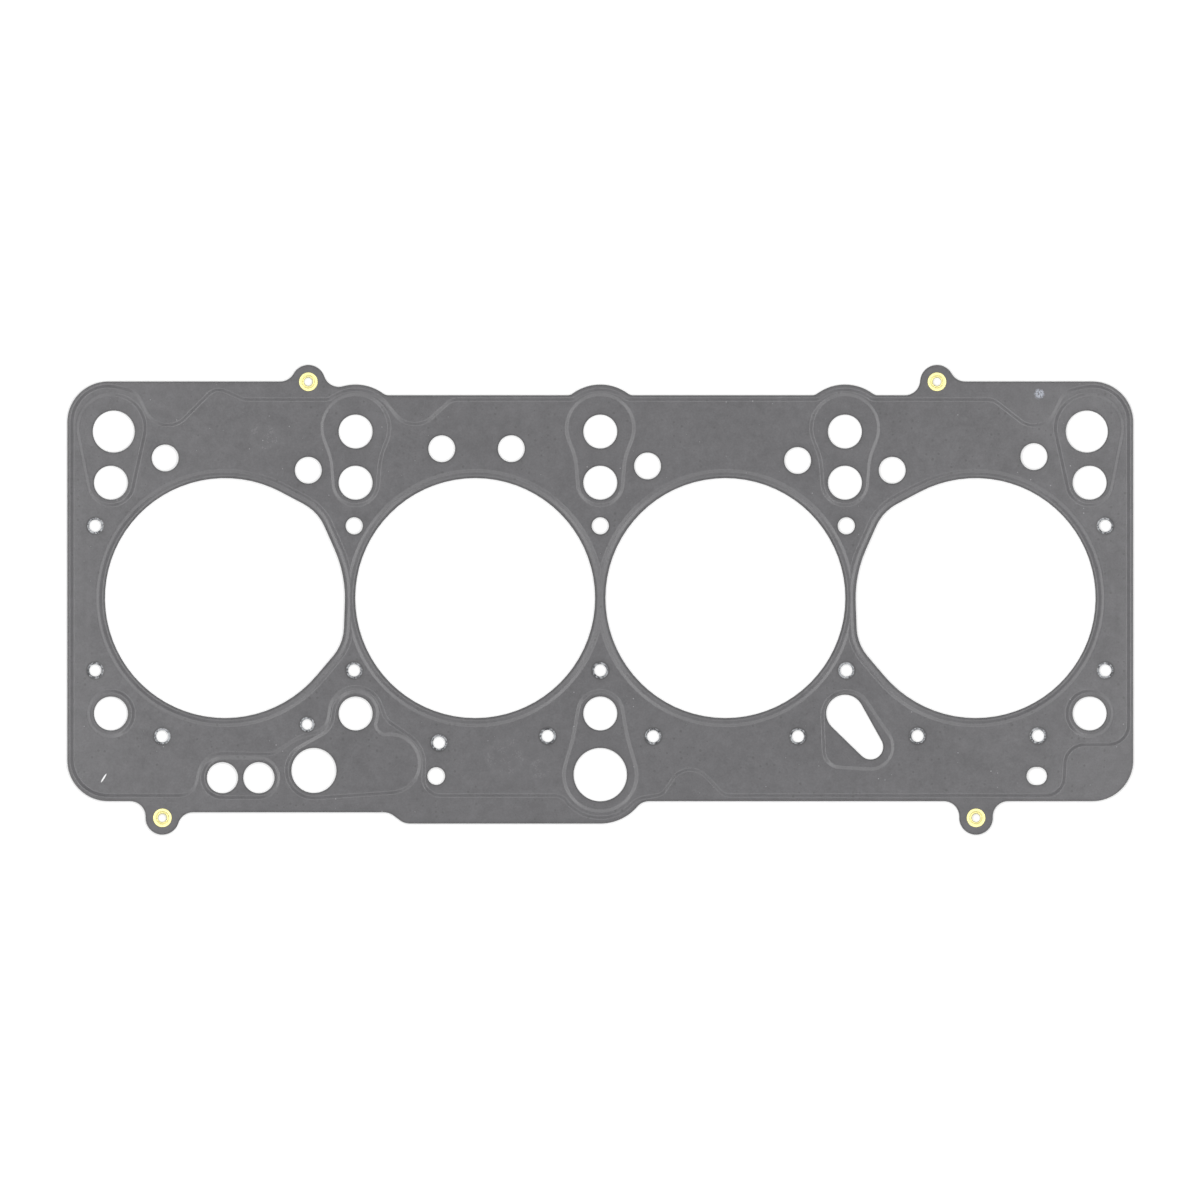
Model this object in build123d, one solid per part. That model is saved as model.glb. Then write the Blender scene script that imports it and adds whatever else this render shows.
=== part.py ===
from build123d import *
from math import asin, atan2, cos, hypot, pi, radians, sin
import os

# A cylinder head gasket made of three steel sheets riveted by four brass eyelets.
# The origin is at the centre of the cylinder row, on the underside; +Z points at the cylinder head.
# The upper edge with the breather bumps faces +Y, and the row of cylinders runs along X.

# Sheets and formed beads
outer_sheet_thickness = 0.25
core_thickness = 0.5
bead_height = 0.3
step_width = 1.4

# Cylinder openings, with the bead groove and the land round each
cylinder_pitch = 90.0
bridge_width = 3.7
land_width = 1.2
groove_inner_flank = 0.75
valve_pocket_radius = 16.6
valve_pocket_depth = 1.55
upper_pocket_angle = 43.0
lower_pocket_angle = -21.2

# Head bolts, in columns beside the cylinders
bolt_pitch_inset = 2.0
bolt_row = 41.5
bolt_hole_radius = 6.1

# Breather holes beyond the upper bolts
breather_rise = 18.4
breather_hole_radius = 6.1
end_breather_inset = 1.0
end_breather_radius = 7.55

# Oil passages, placed from the lower bolts
oil_main_drop = 22.0
oil_main_radius = 9.6
oil_return_offset = (-15.0, -20.5)
oil_return_radius = 8.1
oil_pair_offset = (-41.35, -23.1)
oil_pair_spacing = 13.1
oil_pair_radius = 5.6

# Slanted tapered slot in place of the fourth lower bolt hole
slot_end_offset = (9.2, -12.0)
slot_end_radius = 4.55
slot_bolt_radius = 6.75

# Coolant holes, one list for each cylinder: angle round it, distance of the centre beyond its edge
coolant_hole_radius = 4.82
coolant_holes = [[(113.1, 11.65), (56.9, 11.75)], [(102.6, 11.9), (76.4, 12.15)],
                 [(120.5, 12.0), (62.3, 12.75)], [(123.1, 11.75), (67.6, 11.9)]]

# Vent holes above the bridges
vent_pitch_inset = 1.5
vent_row = 26.0
vent_hole_radius = 3.08

# Metering holes below the bridges, at the ends and below the cylinders, wider in the outer sheets
metering_clearance = 0.75
metering_radius = 2.2
small_metering_radius = 1.9
end_metering_inset = 10.1
lower_metering_holes = [[(-114.4, 11.4)], [(-104.0, 10.45), (-62.25, 12.9)],
                        [(-117.6, 12.95), (-62.3, 13.0)], [(-112.85, 10.65), (-65.6, 11.2)]]
small_metering_hole = (-56.9, 11.05)

# Locating holes below the bolt row, one round and one oblong
locating_drop = 22.5
locating_hole_shift = 29.0
locating_hole_radius = 3.17
locating_slot_shift = -19.0
locating_slot_width = 6.5
locating_slot_travel = 0.8

# Outer edge
end_margin = 15.7
corner_radius = 14.7
bump_wall = 10.8
bump_rise = 3.85
bump_blend = 3.2
top_edge_step = 4.95
oil_edge_width = 8.0
bottom_step_rise = 4.05
bottom_step_shift = 14.8
bottom_step_run = 9.4
bottom_step_radius = 6.0
lower_edge_rise = 4.0

# Lugs, placed along the row from the nearest bolt columns
upper_left_lug_shift = -17.0
upper_right_lug_shift = 33.1
lower_left_lug_shift = 18.5
lower_right_lug_shift = 47.15
upper_lug_sink = 0.1
lower_lug_reach = 6.0
lug_margin = 2.65
lug_blend = 5.5

# Eyelets
eyelet_bore_radius = 1.5
eyelet_wall = 0.45
eyelet_clearance = 0.05
eyelet_flange_radius = 3.4
eyelet_flange_thickness = 0.22
eyelet_mouth_radius = 0.35

# Half bead that runs round inside the outer edge
side_bead_inset = 1.7
top_bead_inset = 1.55
bottom_bead_inset = 2.05
bump_bead_inset = 1.9
bump_bead_blend = 3.6
oil_bead_inset = 2.1
oil_bead_blend = 5.4
bead_wave_radius = 5.1

# Bays of the half bead along the upper edge
end_turn_offset = (2.7, 7.6)
end_turn_radius = 7.8
right_bay_offset = (19.0, 10.2)
right_bay_radius = 8.0
right_bay_shoulder = 16.5
left_bay_offset = (19.4, 11.0)
left_bay_radius = 8.7
left_bay_shoulder = 18.4
left_ridge_rise = 3.5
left_ridge_run = 10.4
middle_bay_shift = 21.3
middle_bay_rise = 0.2
middle_bay_radius = 9.0
middle_bay_shoulder = 15.2

# Bays of the half bead along the lower edge
pair_turn_shift = 15.6
pair_turn_radius = 6.5
pair_peak_offset = (-16.3, 11.0)
pair_peak_radius = 5.1
locating_turn_shift = 1.5
locating_turn_radius = 6.1
oil_shelf_drop = 0.7
oil_shelf_blend = 7.2
bottom_bay_shift = 32.4
bottom_bay_rise = 1.7
bottom_bay_radius = 7.6
bottom_bay_left = 12.6
bottom_bay_right = 14.1
bottom_bay_shoulder = 4.3
corner_bay_offset = (-17.4, 13.15)
corner_bay_radius = 7.2
corner_bay_left = 14.1
corner_bay_left_radius = 6.7
corner_bay_rise = 14.4
corner_bay_right_radius = 7.2

# Bead loops round the bolt holes and passages
bolt_loop_margin = 2.0
loop_ridge = 1.65
breather_loop_shift = 1.25
breather_waist_radius = 21.7
breather_waist_rise = 4.0
breather_waist_half = 8.5
end_loop_shift = 0.8
oil_loop_margin = 3.5
oil_waist_radius = 14.5
oil_waist_drop = 5.4
oil_waist_half = 9.4
slot_loop_offset = (0.6, -0.7)
slot_loop_margin = 1.95
slot_heel_offset = (-1.5, -13.3)
slot_heel_radius = 6.1
slot_end_margin = 3.45

# Raised sealing pads beside the lower left edge, with a narrow channel round them
channel_width = 1.6
pair_pad_margin = 1.55
return_pad_margin = 1.8
return_channel_width = 3.1
bolt_pad_margin = 1.8
shoulder_offset = (-16.3, -0.6)
shoulder_radius = 6.5
nose_offset = (16.7, 2.1)
nose_radius = 6.9
end_pad_offset = (12.5, -18.0)
end_pad_radius = 10.5
pad_notch_radius = 3.7

# Tangent arcs closer than this meet without a line between them
shortest_line = 0.0001

# Heights of the stack, from the lowest plane up
margin_underside = bead_height
core_bottom = margin_underside + outer_sheet_thickness
core_top = core_bottom + core_thickness
margin_top = core_top + outer_sheet_thickness
total_height = margin_top + bead_height

# Radii that follow from the sizes above
bore_radius = (cylinder_pitch - bridge_width) / 2
groove_centre = land_width + groove_inner_flank
groove_outer = groove_centre + step_width
bump_radius = breather_hole_radius + bump_wall
oil_edge_radius = oil_main_radius + oil_edge_width
lug_radius = eyelet_flange_radius + lug_margin
eyelet_hole_radius = eyelet_bore_radius + eyelet_wall + eyelet_clearance
bump_bead_radius = bump_radius - bump_bead_inset
breather_loop_radius = bump_bead_radius - breather_loop_shift - loop_ridge
bolt_loop_radius = bolt_hole_radius + bolt_loop_margin
bolt_pad_radius = bolt_hole_radius + bolt_pad_margin
pair_pad_radius = oil_pair_radius + pair_pad_margin
return_pad_radius = oil_return_radius + return_pad_margin


def beside(point, offset):
    """Point at an offset from another one."""
    return point[0] + offset[0], point[1] + offset[1]


def in_row(count, pitch):
    """Places along the row, evenly spaced about its middle."""
    return [(step - (count - 1) / 2) * pitch for step in range(count)]


# Columns and rows
cylinder_count = len(coolant_holes)
bolt_pitch = cylinder_pitch - bolt_pitch_inset
cylinder_x = in_row(cylinder_count, cylinder_pitch)
bolt_x = in_row(cylinder_count + 1, bolt_pitch)
vent_x = in_row(cylinder_count - 1, cylinder_pitch - vent_pitch_inset)
middle_bolt_x = bolt_x[1:-1]
breather_row = bolt_row + breather_rise
locating_row = -bolt_row - locating_drop
lower_bolts = [(x, -bolt_row) for x in bolt_x]

# Places of the passages
oil_main = beside(lower_bolts[2], (0, -oil_main_drop))
oil_return = beside(lower_bolts[1], oil_return_offset)
oil_pair_middle = beside(lower_bolts[1], oil_pair_offset)
oil_pair = [beside(oil_pair_middle, (side * oil_pair_spacing / 2, 0)) for side in (-1, 1)]
slot_end = beside(lower_bolts[3], slot_end_offset)
locating_hole = (bolt_x[1] + locating_hole_shift, locating_row)
locating_slot = (bolt_x[4] + locating_slot_shift, locating_row)
left_breather = (bolt_x[0] + end_breather_inset, breather_row)
right_breather = (bolt_x[4] - end_breather_inset, breather_row)

# Levels of the outer edge and of the half bead inside it
half_length = bolt_x[4] + end_margin
top_edge_middle = breather_row + bump_radius - bump_rise
top_edge = top_edge_middle + top_edge_step
deep_edge = oil_main[1] - oil_edge_radius
left_edge = deep_edge + bottom_step_rise
bottom_edge = left_edge + lower_edge_rise
top_bead = top_edge_middle - top_bead_inset
bottom_bead = bottom_edge + bottom_bead_inset
upper_lug_row = top_edge - upper_lug_sink
lower_lug_row = bottom_edge - lower_lug_reach
lug_centres = {"upper_left": (bolt_x[1] + upper_left_lug_shift, upper_lug_row),
               "upper_right": (bolt_x[3] + upper_right_lug_shift, upper_lug_row),
               "lower_left": (bolt_x[0] + lower_left_lug_shift, lower_lug_row),
               "lower_right": (bolt_x[3] + lower_right_lug_shift, lower_lug_row)}


# Closed curves of arcs joined by tangent lines
def round_out(centre, radius):
    """A convex arc: the metal lies on the side of its centre."""
    return centre[0], centre[1], radius


def round_in(centre, radius):
    """A concave arc: the metal lies outside it."""
    return centre[0], centre[1], -radius


def belt(rounds, grow=0.0):
    """Face bounded by arcs round the given centres, anticlockwise, joined by their common tangents."""
    headings = []
    for first, second in zip(rounds, rounds[1:] + rounds[:1]):
        dx = second[0] - first[0]
        dy = second[1] - first[1]
        lean = (first[2] - second[2]) / hypot(dx, dy)
        headings.append(atan2(dy, dx) + asin(max(-1.0, min(1.0, lean))))
    arcs = []
    for i, (x, y, radius) in enumerate(rounds):
        reach = radius + grow
        arrive = headings[i - 1]
        leave = headings[i]
        turn = (leave - arrive) % (2 * pi)
        if reach < 0:
            turn -= 2 * pi
        stops = (arrive, arrive + turn / 2, leave)
        arcs.append([Vector(x + reach * sin(heading), y - reach * cos(heading)) for heading in stops])
    edges = []
    for i, points in enumerate(arcs):
        before = arcs[i - 1][2]
        if (points[0] - before).length > shortest_line:
            edges.append(Edge.make_line(before, points[0]))
        else:
            points[0] = before
        edges.append(Edge.make_three_point_arc(*points))
    return Face(Wire(edges))


def blend_to_edge(circle, edge_y, radius, side):
    """Concave arc that joins a convex arc to a level edge, on the given side of it."""
    outward = 1 if circle[1] > 0 else -1
    y = edge_y + outward * radius
    run = ((circle[2] + radius) ** 2 - (y - circle[1]) ** 2) ** 0.5
    return round_in((circle[0] + side * run, y), radius)


def blend_between(first, second, radius):
    """Concave arc that joins two convex arcs, to the right of the way from the first to the second."""
    dx = second[0] - first[0]
    dy = second[1] - first[1]
    gap = hypot(dx, dy)
    near = first[2] + radius
    along = (near ** 2 - (second[2] + radius) ** 2 + gap ** 2) / (2 * gap)
    aside = (near ** 2 - along ** 2) ** 0.5
    offset = ((along * dx + aside * dy) / gap, (along * dy - aside * dx) / gap)
    return round_in(beside(first, offset), radius)


# Plan of the outer edge, anticlockwise from the lower left corner
def outer_edge():
    bumps = [round_out((x, breather_row), bump_radius) for x in middle_bolt_x]
    lugs = {name: round_out(centre, lug_radius) for name, centre in lug_centres.items()}
    corner_x = half_length - corner_radius
    oil_edge = round_out(oil_main, oil_edge_radius)
    step_left = bolt_x[1] + bottom_step_shift - bottom_step_run / 2
    step_right = step_left + bottom_step_run
    rounds = [round_out((-corner_x, bottom_edge + corner_radius), corner_radius),
              blend_to_edge(lugs["lower_left"], bottom_edge, lug_blend, -1),
              lugs["lower_left"],
              blend_to_edge(lugs["lower_left"], left_edge, lug_blend, 1),
              round_in((step_left, left_edge - bottom_step_radius), bottom_step_radius),
              round_out((step_right, deep_edge + bottom_step_radius), bottom_step_radius),
              oil_edge,
              blend_to_edge(oil_edge, bottom_edge, lug_blend, 1),
              blend_to_edge(lugs["lower_right"], bottom_edge, lug_blend, -1),
              lugs["lower_right"],
              blend_to_edge(lugs["lower_right"], bottom_edge, lug_blend, 1),
              round_out((corner_x, bottom_edge + corner_radius), corner_radius),
              round_out((corner_x, top_edge - corner_radius), corner_radius),
              blend_to_edge(lugs["upper_right"], top_edge, lug_blend, 1),
              lugs["upper_right"],
              blend_to_edge(lugs["upper_right"], top_edge_middle, lug_blend, -1)]
    for bump in reversed(bumps[1:]):
        rounds += [blend_to_edge(bump, top_edge_middle, bump_blend, 1), bump,
                   blend_to_edge(bump, top_edge_middle, bump_blend, -1)]
    rounds += [blend_to_edge(bumps[0], top_edge_middle, bump_blend, 1), bumps[0],
               blend_between(bumps[0], lugs["upper_left"], lug_blend),
               lugs["upper_left"],
               blend_to_edge(lugs["upper_left"], top_edge, lug_blend, -1),
               round_out((-corner_x, top_edge - corner_radius), corner_radius)]
    return rounds


# Plan of the cylinder openings
def cylinder_opening(number):
    """Round opening; the two end ones have valve pockets on the side of their neighbour."""
    centre = (cylinder_x[number], 0)
    bore = round_out(centre, bore_radius)
    if 0 < number < cylinder_count - 1:
        return [bore]
    inward = 1 if number == 0 else -1
    reach = bore_radius + valve_pocket_depth - valve_pocket_radius
    pockets = []
    for angle in (lower_pocket_angle, upper_pocket_angle):
        offset = (inward * reach * cos(radians(angle)), reach * sin(radians(angle)))
        pockets.append(round_out(beside(centre, offset), valve_pocket_radius))
    if inward < 0:
        pockets.reverse()
    return [bore, pockets[0], bore, pockets[1]]


cylinder_openings = [cylinder_opening(number) for number in range(cylinder_count)]


def opening_face(rounds, grow=0.0):
    """Face of a cylinder opening or loop, grown outwards by the given width."""
    if len(rounds) == 1:
        x, y, radius = rounds[0]
        return Face(Wire.make_circle(radius + grow, Plane((x, y, 0))))
    return belt(rounds, grow)


# Plan of the half bead that separates the wet middle from the dry margin
def lower_bead():
    """Lower run of the half bead, from the lower left corner to the right side."""
    corner_x = half_length - corner_radius
    bead_corner = corner_radius - side_bead_inset
    oil_ridge = round_out(oil_main, oil_edge_radius - oil_bead_inset)
    bottom_bay = (bolt_x[2] + bottom_bay_shift, bottom_bead + bottom_bay_rise)
    corner_bay = beside((half_length, bottom_edge), corner_bay_offset)
    right_x = half_length - side_bead_inset - corner_bay_right_radius
    shoulder_y = bottom_bead + bottom_bay_shoulder
    return [round_out((-corner_x, bottom_bead + bead_corner), bead_corner),
            round_out((oil_pair[0][0] - pair_turn_shift, bottom_bead + pair_turn_radius), pair_turn_radius),
            round_in(oil_pair[0], pair_pad_radius + channel_width),
            round_out(beside(oil_return, pair_peak_offset), pair_peak_radius),
            round_in(oil_return, return_pad_radius + return_channel_width),
            round_out(beside(lower_bolts[1], shoulder_offset), shoulder_radius),
            round_in(lower_bolts[1], bolt_pad_radius + channel_width),
            round_out(beside(lower_bolts[1], nose_offset), nose_radius),
            round_in(beside(lower_bolts[1], end_pad_offset), end_pad_radius + channel_width),
            round_out((locating_hole[0] + locating_turn_shift, bottom_bead + locating_turn_radius),
                      locating_turn_radius),
            blend_to_edge(oil_ridge, bottom_bead, oil_bead_blend, -1),
            oil_ridge,
            blend_to_edge(oil_ridge, bottom_bead - oil_shelf_drop, oil_shelf_blend, 1),
            round_out((bottom_bay[0] - bottom_bay_left, shoulder_y), bottom_bay_shoulder),
            round_in(bottom_bay, bottom_bay_radius),
            round_out((bottom_bay[0] + bottom_bay_right, shoulder_y), bottom_bay_shoulder),
            round_out((corner_bay[0] - corner_bay_left, bottom_bead + corner_bay_left_radius),
                      corner_bay_left_radius),
            round_in(corner_bay, corner_bay_radius),
            round_out((right_x, corner_bay[1] + corner_bay_rise), corner_bay_right_radius)]


def upper_bead():
    """Upper run of the half bead, from the upper right corner to the left side."""
    corner = (half_length - corner_radius, top_edge - corner_radius)
    bead_corner = corner_radius - side_bead_inset
    bumps = [round_out((x, breather_row), bump_bead_radius) for x in middle_bolt_x]
    wave_y = top_bead - bead_wave_radius
    right_bay = beside(right_breather, (-right_bay_offset[0], right_bay_offset[1]))
    left_bay = beside(left_breather, left_bay_offset)
    left_ridge = (left_bay[0] + left_bay_shoulder, wave_y + left_ridge_rise)
    middle_bay = (middle_bolt_x[0] + middle_bay_shift, top_bead + middle_bay_rise)
    rounds = [round_out(corner, bead_corner),
              round_out(beside(right_breather, (-end_turn_offset[0], end_turn_offset[1])), end_turn_radius),
              round_in(right_bay, right_bay_radius),
              round_out((right_bay[0] - right_bay_shoulder, wave_y), bead_wave_radius)]
    for bump in reversed(bumps[1:]):
        rounds += [blend_to_edge(bump, top_bead, bump_bead_blend, 1), bump,
                   blend_to_edge(bump, top_bead, bump_bead_blend, -1)]
    rounds += [round_out((middle_bay[0] + middle_bay_shoulder, wave_y), bead_wave_radius),
               round_in(middle_bay, middle_bay_radius),
               bumps[0],
               blend_to_edge(bumps[0], top_bead, bump_bead_blend, -1),
               round_in((left_ridge[0] + left_ridge_run, top_bead + bead_wave_radius), bead_wave_radius),
               round_out(left_ridge, bead_wave_radius),
               round_in(left_bay, left_bay_radius),
               round_out(beside(left_breather, end_turn_offset), end_turn_radius),
               round_out((-corner[0], corner[1]), bead_corner)]
    return rounds


# Plan of the bead loops round the bolt holes and passages
def waisted_loop(lower, upper, waist_radius, waist_y, waist_half):
    """Keyhole-shaped loop round two holes, drawn in between them."""
    x = lower[0]
    reach = waist_half + waist_radius
    return [lower, round_in((x + reach, waist_y), waist_radius), upper,
            round_in((x - reach, waist_y), waist_radius)]


def bead_loops():
    loops = []
    for x in middle_bolt_x:
        lower = round_out((x, bolt_row), bolt_loop_radius)
        upper = round_out((x, breather_row + breather_loop_shift), breather_loop_radius)
        loops.append(waisted_loop(lower, upper, breather_waist_radius, bolt_row + breather_waist_rise,
                                  breather_waist_half))
    for side, bolt, breather in ((-1, lower_bolts[0], left_breather), (1, lower_bolts[4], right_breather)):
        far_end = beside(breather, (side * end_loop_shift, breather_loop_shift))
        loops.append([round_out((bolt[0], bolt_row), bolt_loop_radius), round_out(far_end, breather_loop_radius)])
        loops.append([round_out(bolt, bolt_loop_radius)])
    loops.append(waisted_loop(round_out(oil_main, oil_main_radius + oil_loop_margin),
                              round_out(lower_bolts[2], bolt_loop_radius),
                              oil_waist_radius, -bolt_row - oil_waist_drop, oil_waist_half))
    loops.append([round_out(beside(lower_bolts[3], slot_loop_offset), slot_bolt_radius + slot_loop_margin),
                  round_out(beside(lower_bolts[3], slot_heel_offset), slot_heel_radius),
                  round_out(slot_end, slot_end_radius + slot_end_margin)])
    return loops


# Plan of the raised sealing pads inside the lower left bay
def sealing_pads():
    bolt_pad = round_out(lower_bolts[1], bolt_pad_radius)
    end_pad = round_out(beside(lower_bolts[1], end_pad_offset), end_pad_radius)
    pair_pad = [round_out(centre, pair_pad_radius) for centre in oil_pair]
    return_pad = [bolt_pad,
                  round_in(beside(lower_bolts[1], shoulder_offset), shoulder_radius + channel_width),
                  round_out(oil_return, return_pad_radius),
                  end_pad,
                  blend_between(end_pad, bolt_pad, pad_notch_radius)]
    return [pair_pad, return_pad]


# Solids of the forming tool, one above the other
def stepped(rounds, low_grow, high_grow, low):
    """Solid from the low level to the high one, whose plan changes by the two given widths."""
    faces = [opening_face(rounds, grow) for grow in (low_grow, high_grow)]
    wires = [face.outer_wire().moved(Location((0, 0, z))) for face, z in zip(faces, (low, low + bead_height))]
    return Solid.make_loft(wires, ruled=True)


def forming_surface(low):
    """Everything below the underside of the formed sheet whose margin lies at the given level."""
    slab = Pos(0, 0, low - bead_height) * Box(3 * half_length, 3 * half_length, bead_height,
                                             align=(Align.CENTER, Align.CENTER, Align.MIN))
    half_step = step_width / 2
    wet_middle = stepped(lower_bead() + upper_bead(), half_step, -half_step, low)
    hollows = [stepped(loop, -half_step, half_step, low) for loop in bead_loops()]
    hollows += [stepped(opening, groove_centre, groove_outer, low) for opening in cylinder_openings]
    raised = [stepped(pad, half_step, -half_step, low) for pad in sealing_pads()]
    raised += [stepped(opening, groove_centre, land_width, low) for opening in cylinder_openings]
    return slab + (Part() + wet_middle - hollows) + raised


# Holes shared by the three sheets
def beyond_edge(x, holes):
    """Centres outside the edge of the cylinder opening at the given place in the row."""
    return [(x + (bore_radius + distance) * cos(radians(angle)), (bore_radius + distance) * sin(radians(angle)))
            for angle, distance in holes]


def hole_faces(metering, small_metering):
    circles = [((x, bolt_row), bolt_hole_radius) for x in bolt_x]
    circles += [(bolt, bolt_hole_radius) for bolt in lower_bolts[:3] + lower_bolts[4:]]
    circles += [((x, breather_row), breather_hole_radius) for x in middle_bolt_x]
    circles += [(centre, end_breather_radius) for centre in (left_breather, right_breather)]
    circles += [(oil_main, oil_main_radius), (oil_return, oil_return_radius)]
    circles += [(centre, oil_pair_radius) for centre in oil_pair]
    for x, coolant, lower in zip(cylinder_x, coolant_holes, lower_metering_holes):
        circles += [(centre, coolant_hole_radius) for centre in beyond_edge(x, coolant)]
        circles += [(centre, metering) for centre in beyond_edge(x, lower)]
    circles += [((x, vent_row), vent_hole_radius) for x in vent_x]
    circles += [(locating_hole, locating_hole_radius)]
    end_x = half_length - end_metering_inset
    circles += [((side * end_x, y), metering) for side in (-1, 1) for y in (-vent_row, vent_row)]
    circles += [((x, -vent_row), metering) for x in vent_x]
    circles += [(centre, small_metering) for centre in beyond_edge(cylinder_x[0], [small_metering_hole])]
    circles += [(centre, eyelet_hole_radius) for centre in lug_centres.values()]
    faces = [Pos(*centre) * Circle(radius) for centre, radius in circles]
    slot_length = locating_slot_width + locating_slot_travel
    faces.append(Pos(*locating_slot) * SlotOverall(slot_length, locating_slot_width))
    faces.append(belt([round_out(lower_bolts[3], slot_bolt_radius), round_out(slot_end, slot_end_radius)]))
    faces += [opening_face(opening) for opening in cylinder_openings]
    return faces


def sheet_blank(bottom, height, metering, small_metering):
    """Flat blank of the full outline with every hole, between two levels."""
    plan = Sketch() + belt(outer_edge()) - hole_faces(metering, small_metering)
    return Pos(0, 0, bottom) * extrude(plan, amount=height)


# Upper sheet, formed over the raised beads
def upper_sheet():
    surface = forming_surface(core_top)
    band = Pos(0, 0, outer_sheet_thickness) * surface - surface
    wide = metering_radius + metering_clearance
    return band & sheet_blank(core_top, total_height - core_top, wide, wide)


# Core, a flat spacer whose smaller metering holes set the coolant flow
def core_sheet():
    return sheet_blank(core_bottom, core_thickness, metering_radius, small_metering_radius)


# Eyelet, a hollow rivet clinched over the margins of both outer sheets
def eyelet(centre):
    low = margin_underside - eyelet_flange_thickness
    high = margin_top + eyelet_flange_thickness
    barrel = eyelet_bore_radius + eyelet_wall
    with BuildSketch(Plane.XZ) as section:
        with BuildLine():
            Polyline((eyelet_bore_radius, low), (eyelet_flange_radius, low),
                     (eyelet_flange_radius, margin_underside), (barrel, margin_underside),
                     (barrel, margin_top), (eyelet_flange_radius, margin_top),
                     (eyelet_flange_radius, high), (eyelet_bore_radius, high), close=True)
        make_face()
        ends = section.vertices().group_by(Axis.Z)
        corners = ends[0] + ends[-1]
        mouths = corners.group_by(Axis.X)[0]
        rims = corners.group_by(Axis.X)[-1]
        fillet(mouths, radius=eyelet_mouth_radius)
        fillet(rims, radius=eyelet_flange_thickness / 2)
    return Pos(*centre) * revolve(section.sketch, Axis.Z)


# Write each piece to its own file
def write(name, shape):
    solids = shape.solids()
    print(name, "solids", len(solids), "volume", round(sum(s.volume for s in solids), 1))
    export_step(shape if len(solids) > 1 else solids[0], f"parts/{name}.step")


os.makedirs("parts", exist_ok=True)
upper = upper_sheet()
write("upper_sheet", upper)
write("lower_sheet", Pos(0, 0, total_height) * mirror(upper, Plane.XY))
write("core_sheet", core_sheet())
write("eyelets", Part() + [eyelet(centre) for centre in lug_centres.values()])
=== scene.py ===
"""A cylinder head gasket of three steel sheets and four brass eyelets, dressed over its CAD frame.

The gasket lies flat on a pale floor and is seen from straight above. Its two outer sheets are rebuilt as
smoothly formed shells, its eyelets as rolled rivets, and the core keeps its CAD mesh. Plan sizes are in
millimetres; they become metres when a mesh is written.
"""
import logging
from dataclasses import dataclass, field
from enum import Enum

import bpy
import numpy as np
from mathutils.geometry import delaunay_2d_cdt
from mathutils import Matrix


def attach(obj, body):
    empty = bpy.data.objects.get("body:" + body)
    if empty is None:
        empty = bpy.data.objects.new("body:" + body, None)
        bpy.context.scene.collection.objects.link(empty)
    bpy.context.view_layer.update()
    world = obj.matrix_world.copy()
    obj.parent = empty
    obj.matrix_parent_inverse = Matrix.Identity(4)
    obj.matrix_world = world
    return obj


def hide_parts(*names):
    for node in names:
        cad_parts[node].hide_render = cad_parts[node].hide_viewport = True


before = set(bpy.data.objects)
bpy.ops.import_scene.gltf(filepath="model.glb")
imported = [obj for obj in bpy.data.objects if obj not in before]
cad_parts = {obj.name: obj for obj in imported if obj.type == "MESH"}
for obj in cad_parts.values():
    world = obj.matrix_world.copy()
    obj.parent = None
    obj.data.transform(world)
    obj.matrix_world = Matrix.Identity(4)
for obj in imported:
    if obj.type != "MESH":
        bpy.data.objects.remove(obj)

LOG = logging.getLogger("gasket")
MM = 0.001
BODY = "root"
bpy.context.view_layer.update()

WHITE = (1.0, 1.0, 1.0, 1.0)
SAME_POINT, SLACK = 1e-4, 1e-9
# Point attributes: distance from the nearest edge, and the share of painted shade in the ring dip of the
# eyelets.
EDGE_GAP, PAINTED_RING_SHADE = "edge_gap", "painted_ring_shade"
VALUE, PLACE = "NodeSocketFloat", "NodeSocketVector"
# Sockets of a colour Mix node: share, first and second colour; and its result.
MIX_INPUTS, MIX_OUTPUT = (0, 6, 7), 2

Point = tuple[float, float]
Round = tuple[float, float, float]
Array = np.ndarray
Object, Material = bpy.types.Object, bpy.types.Material
Tree, Node, Socket = bpy.types.NodeTree, bpy.types.Node, bpy.types.NodeSocket


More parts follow.
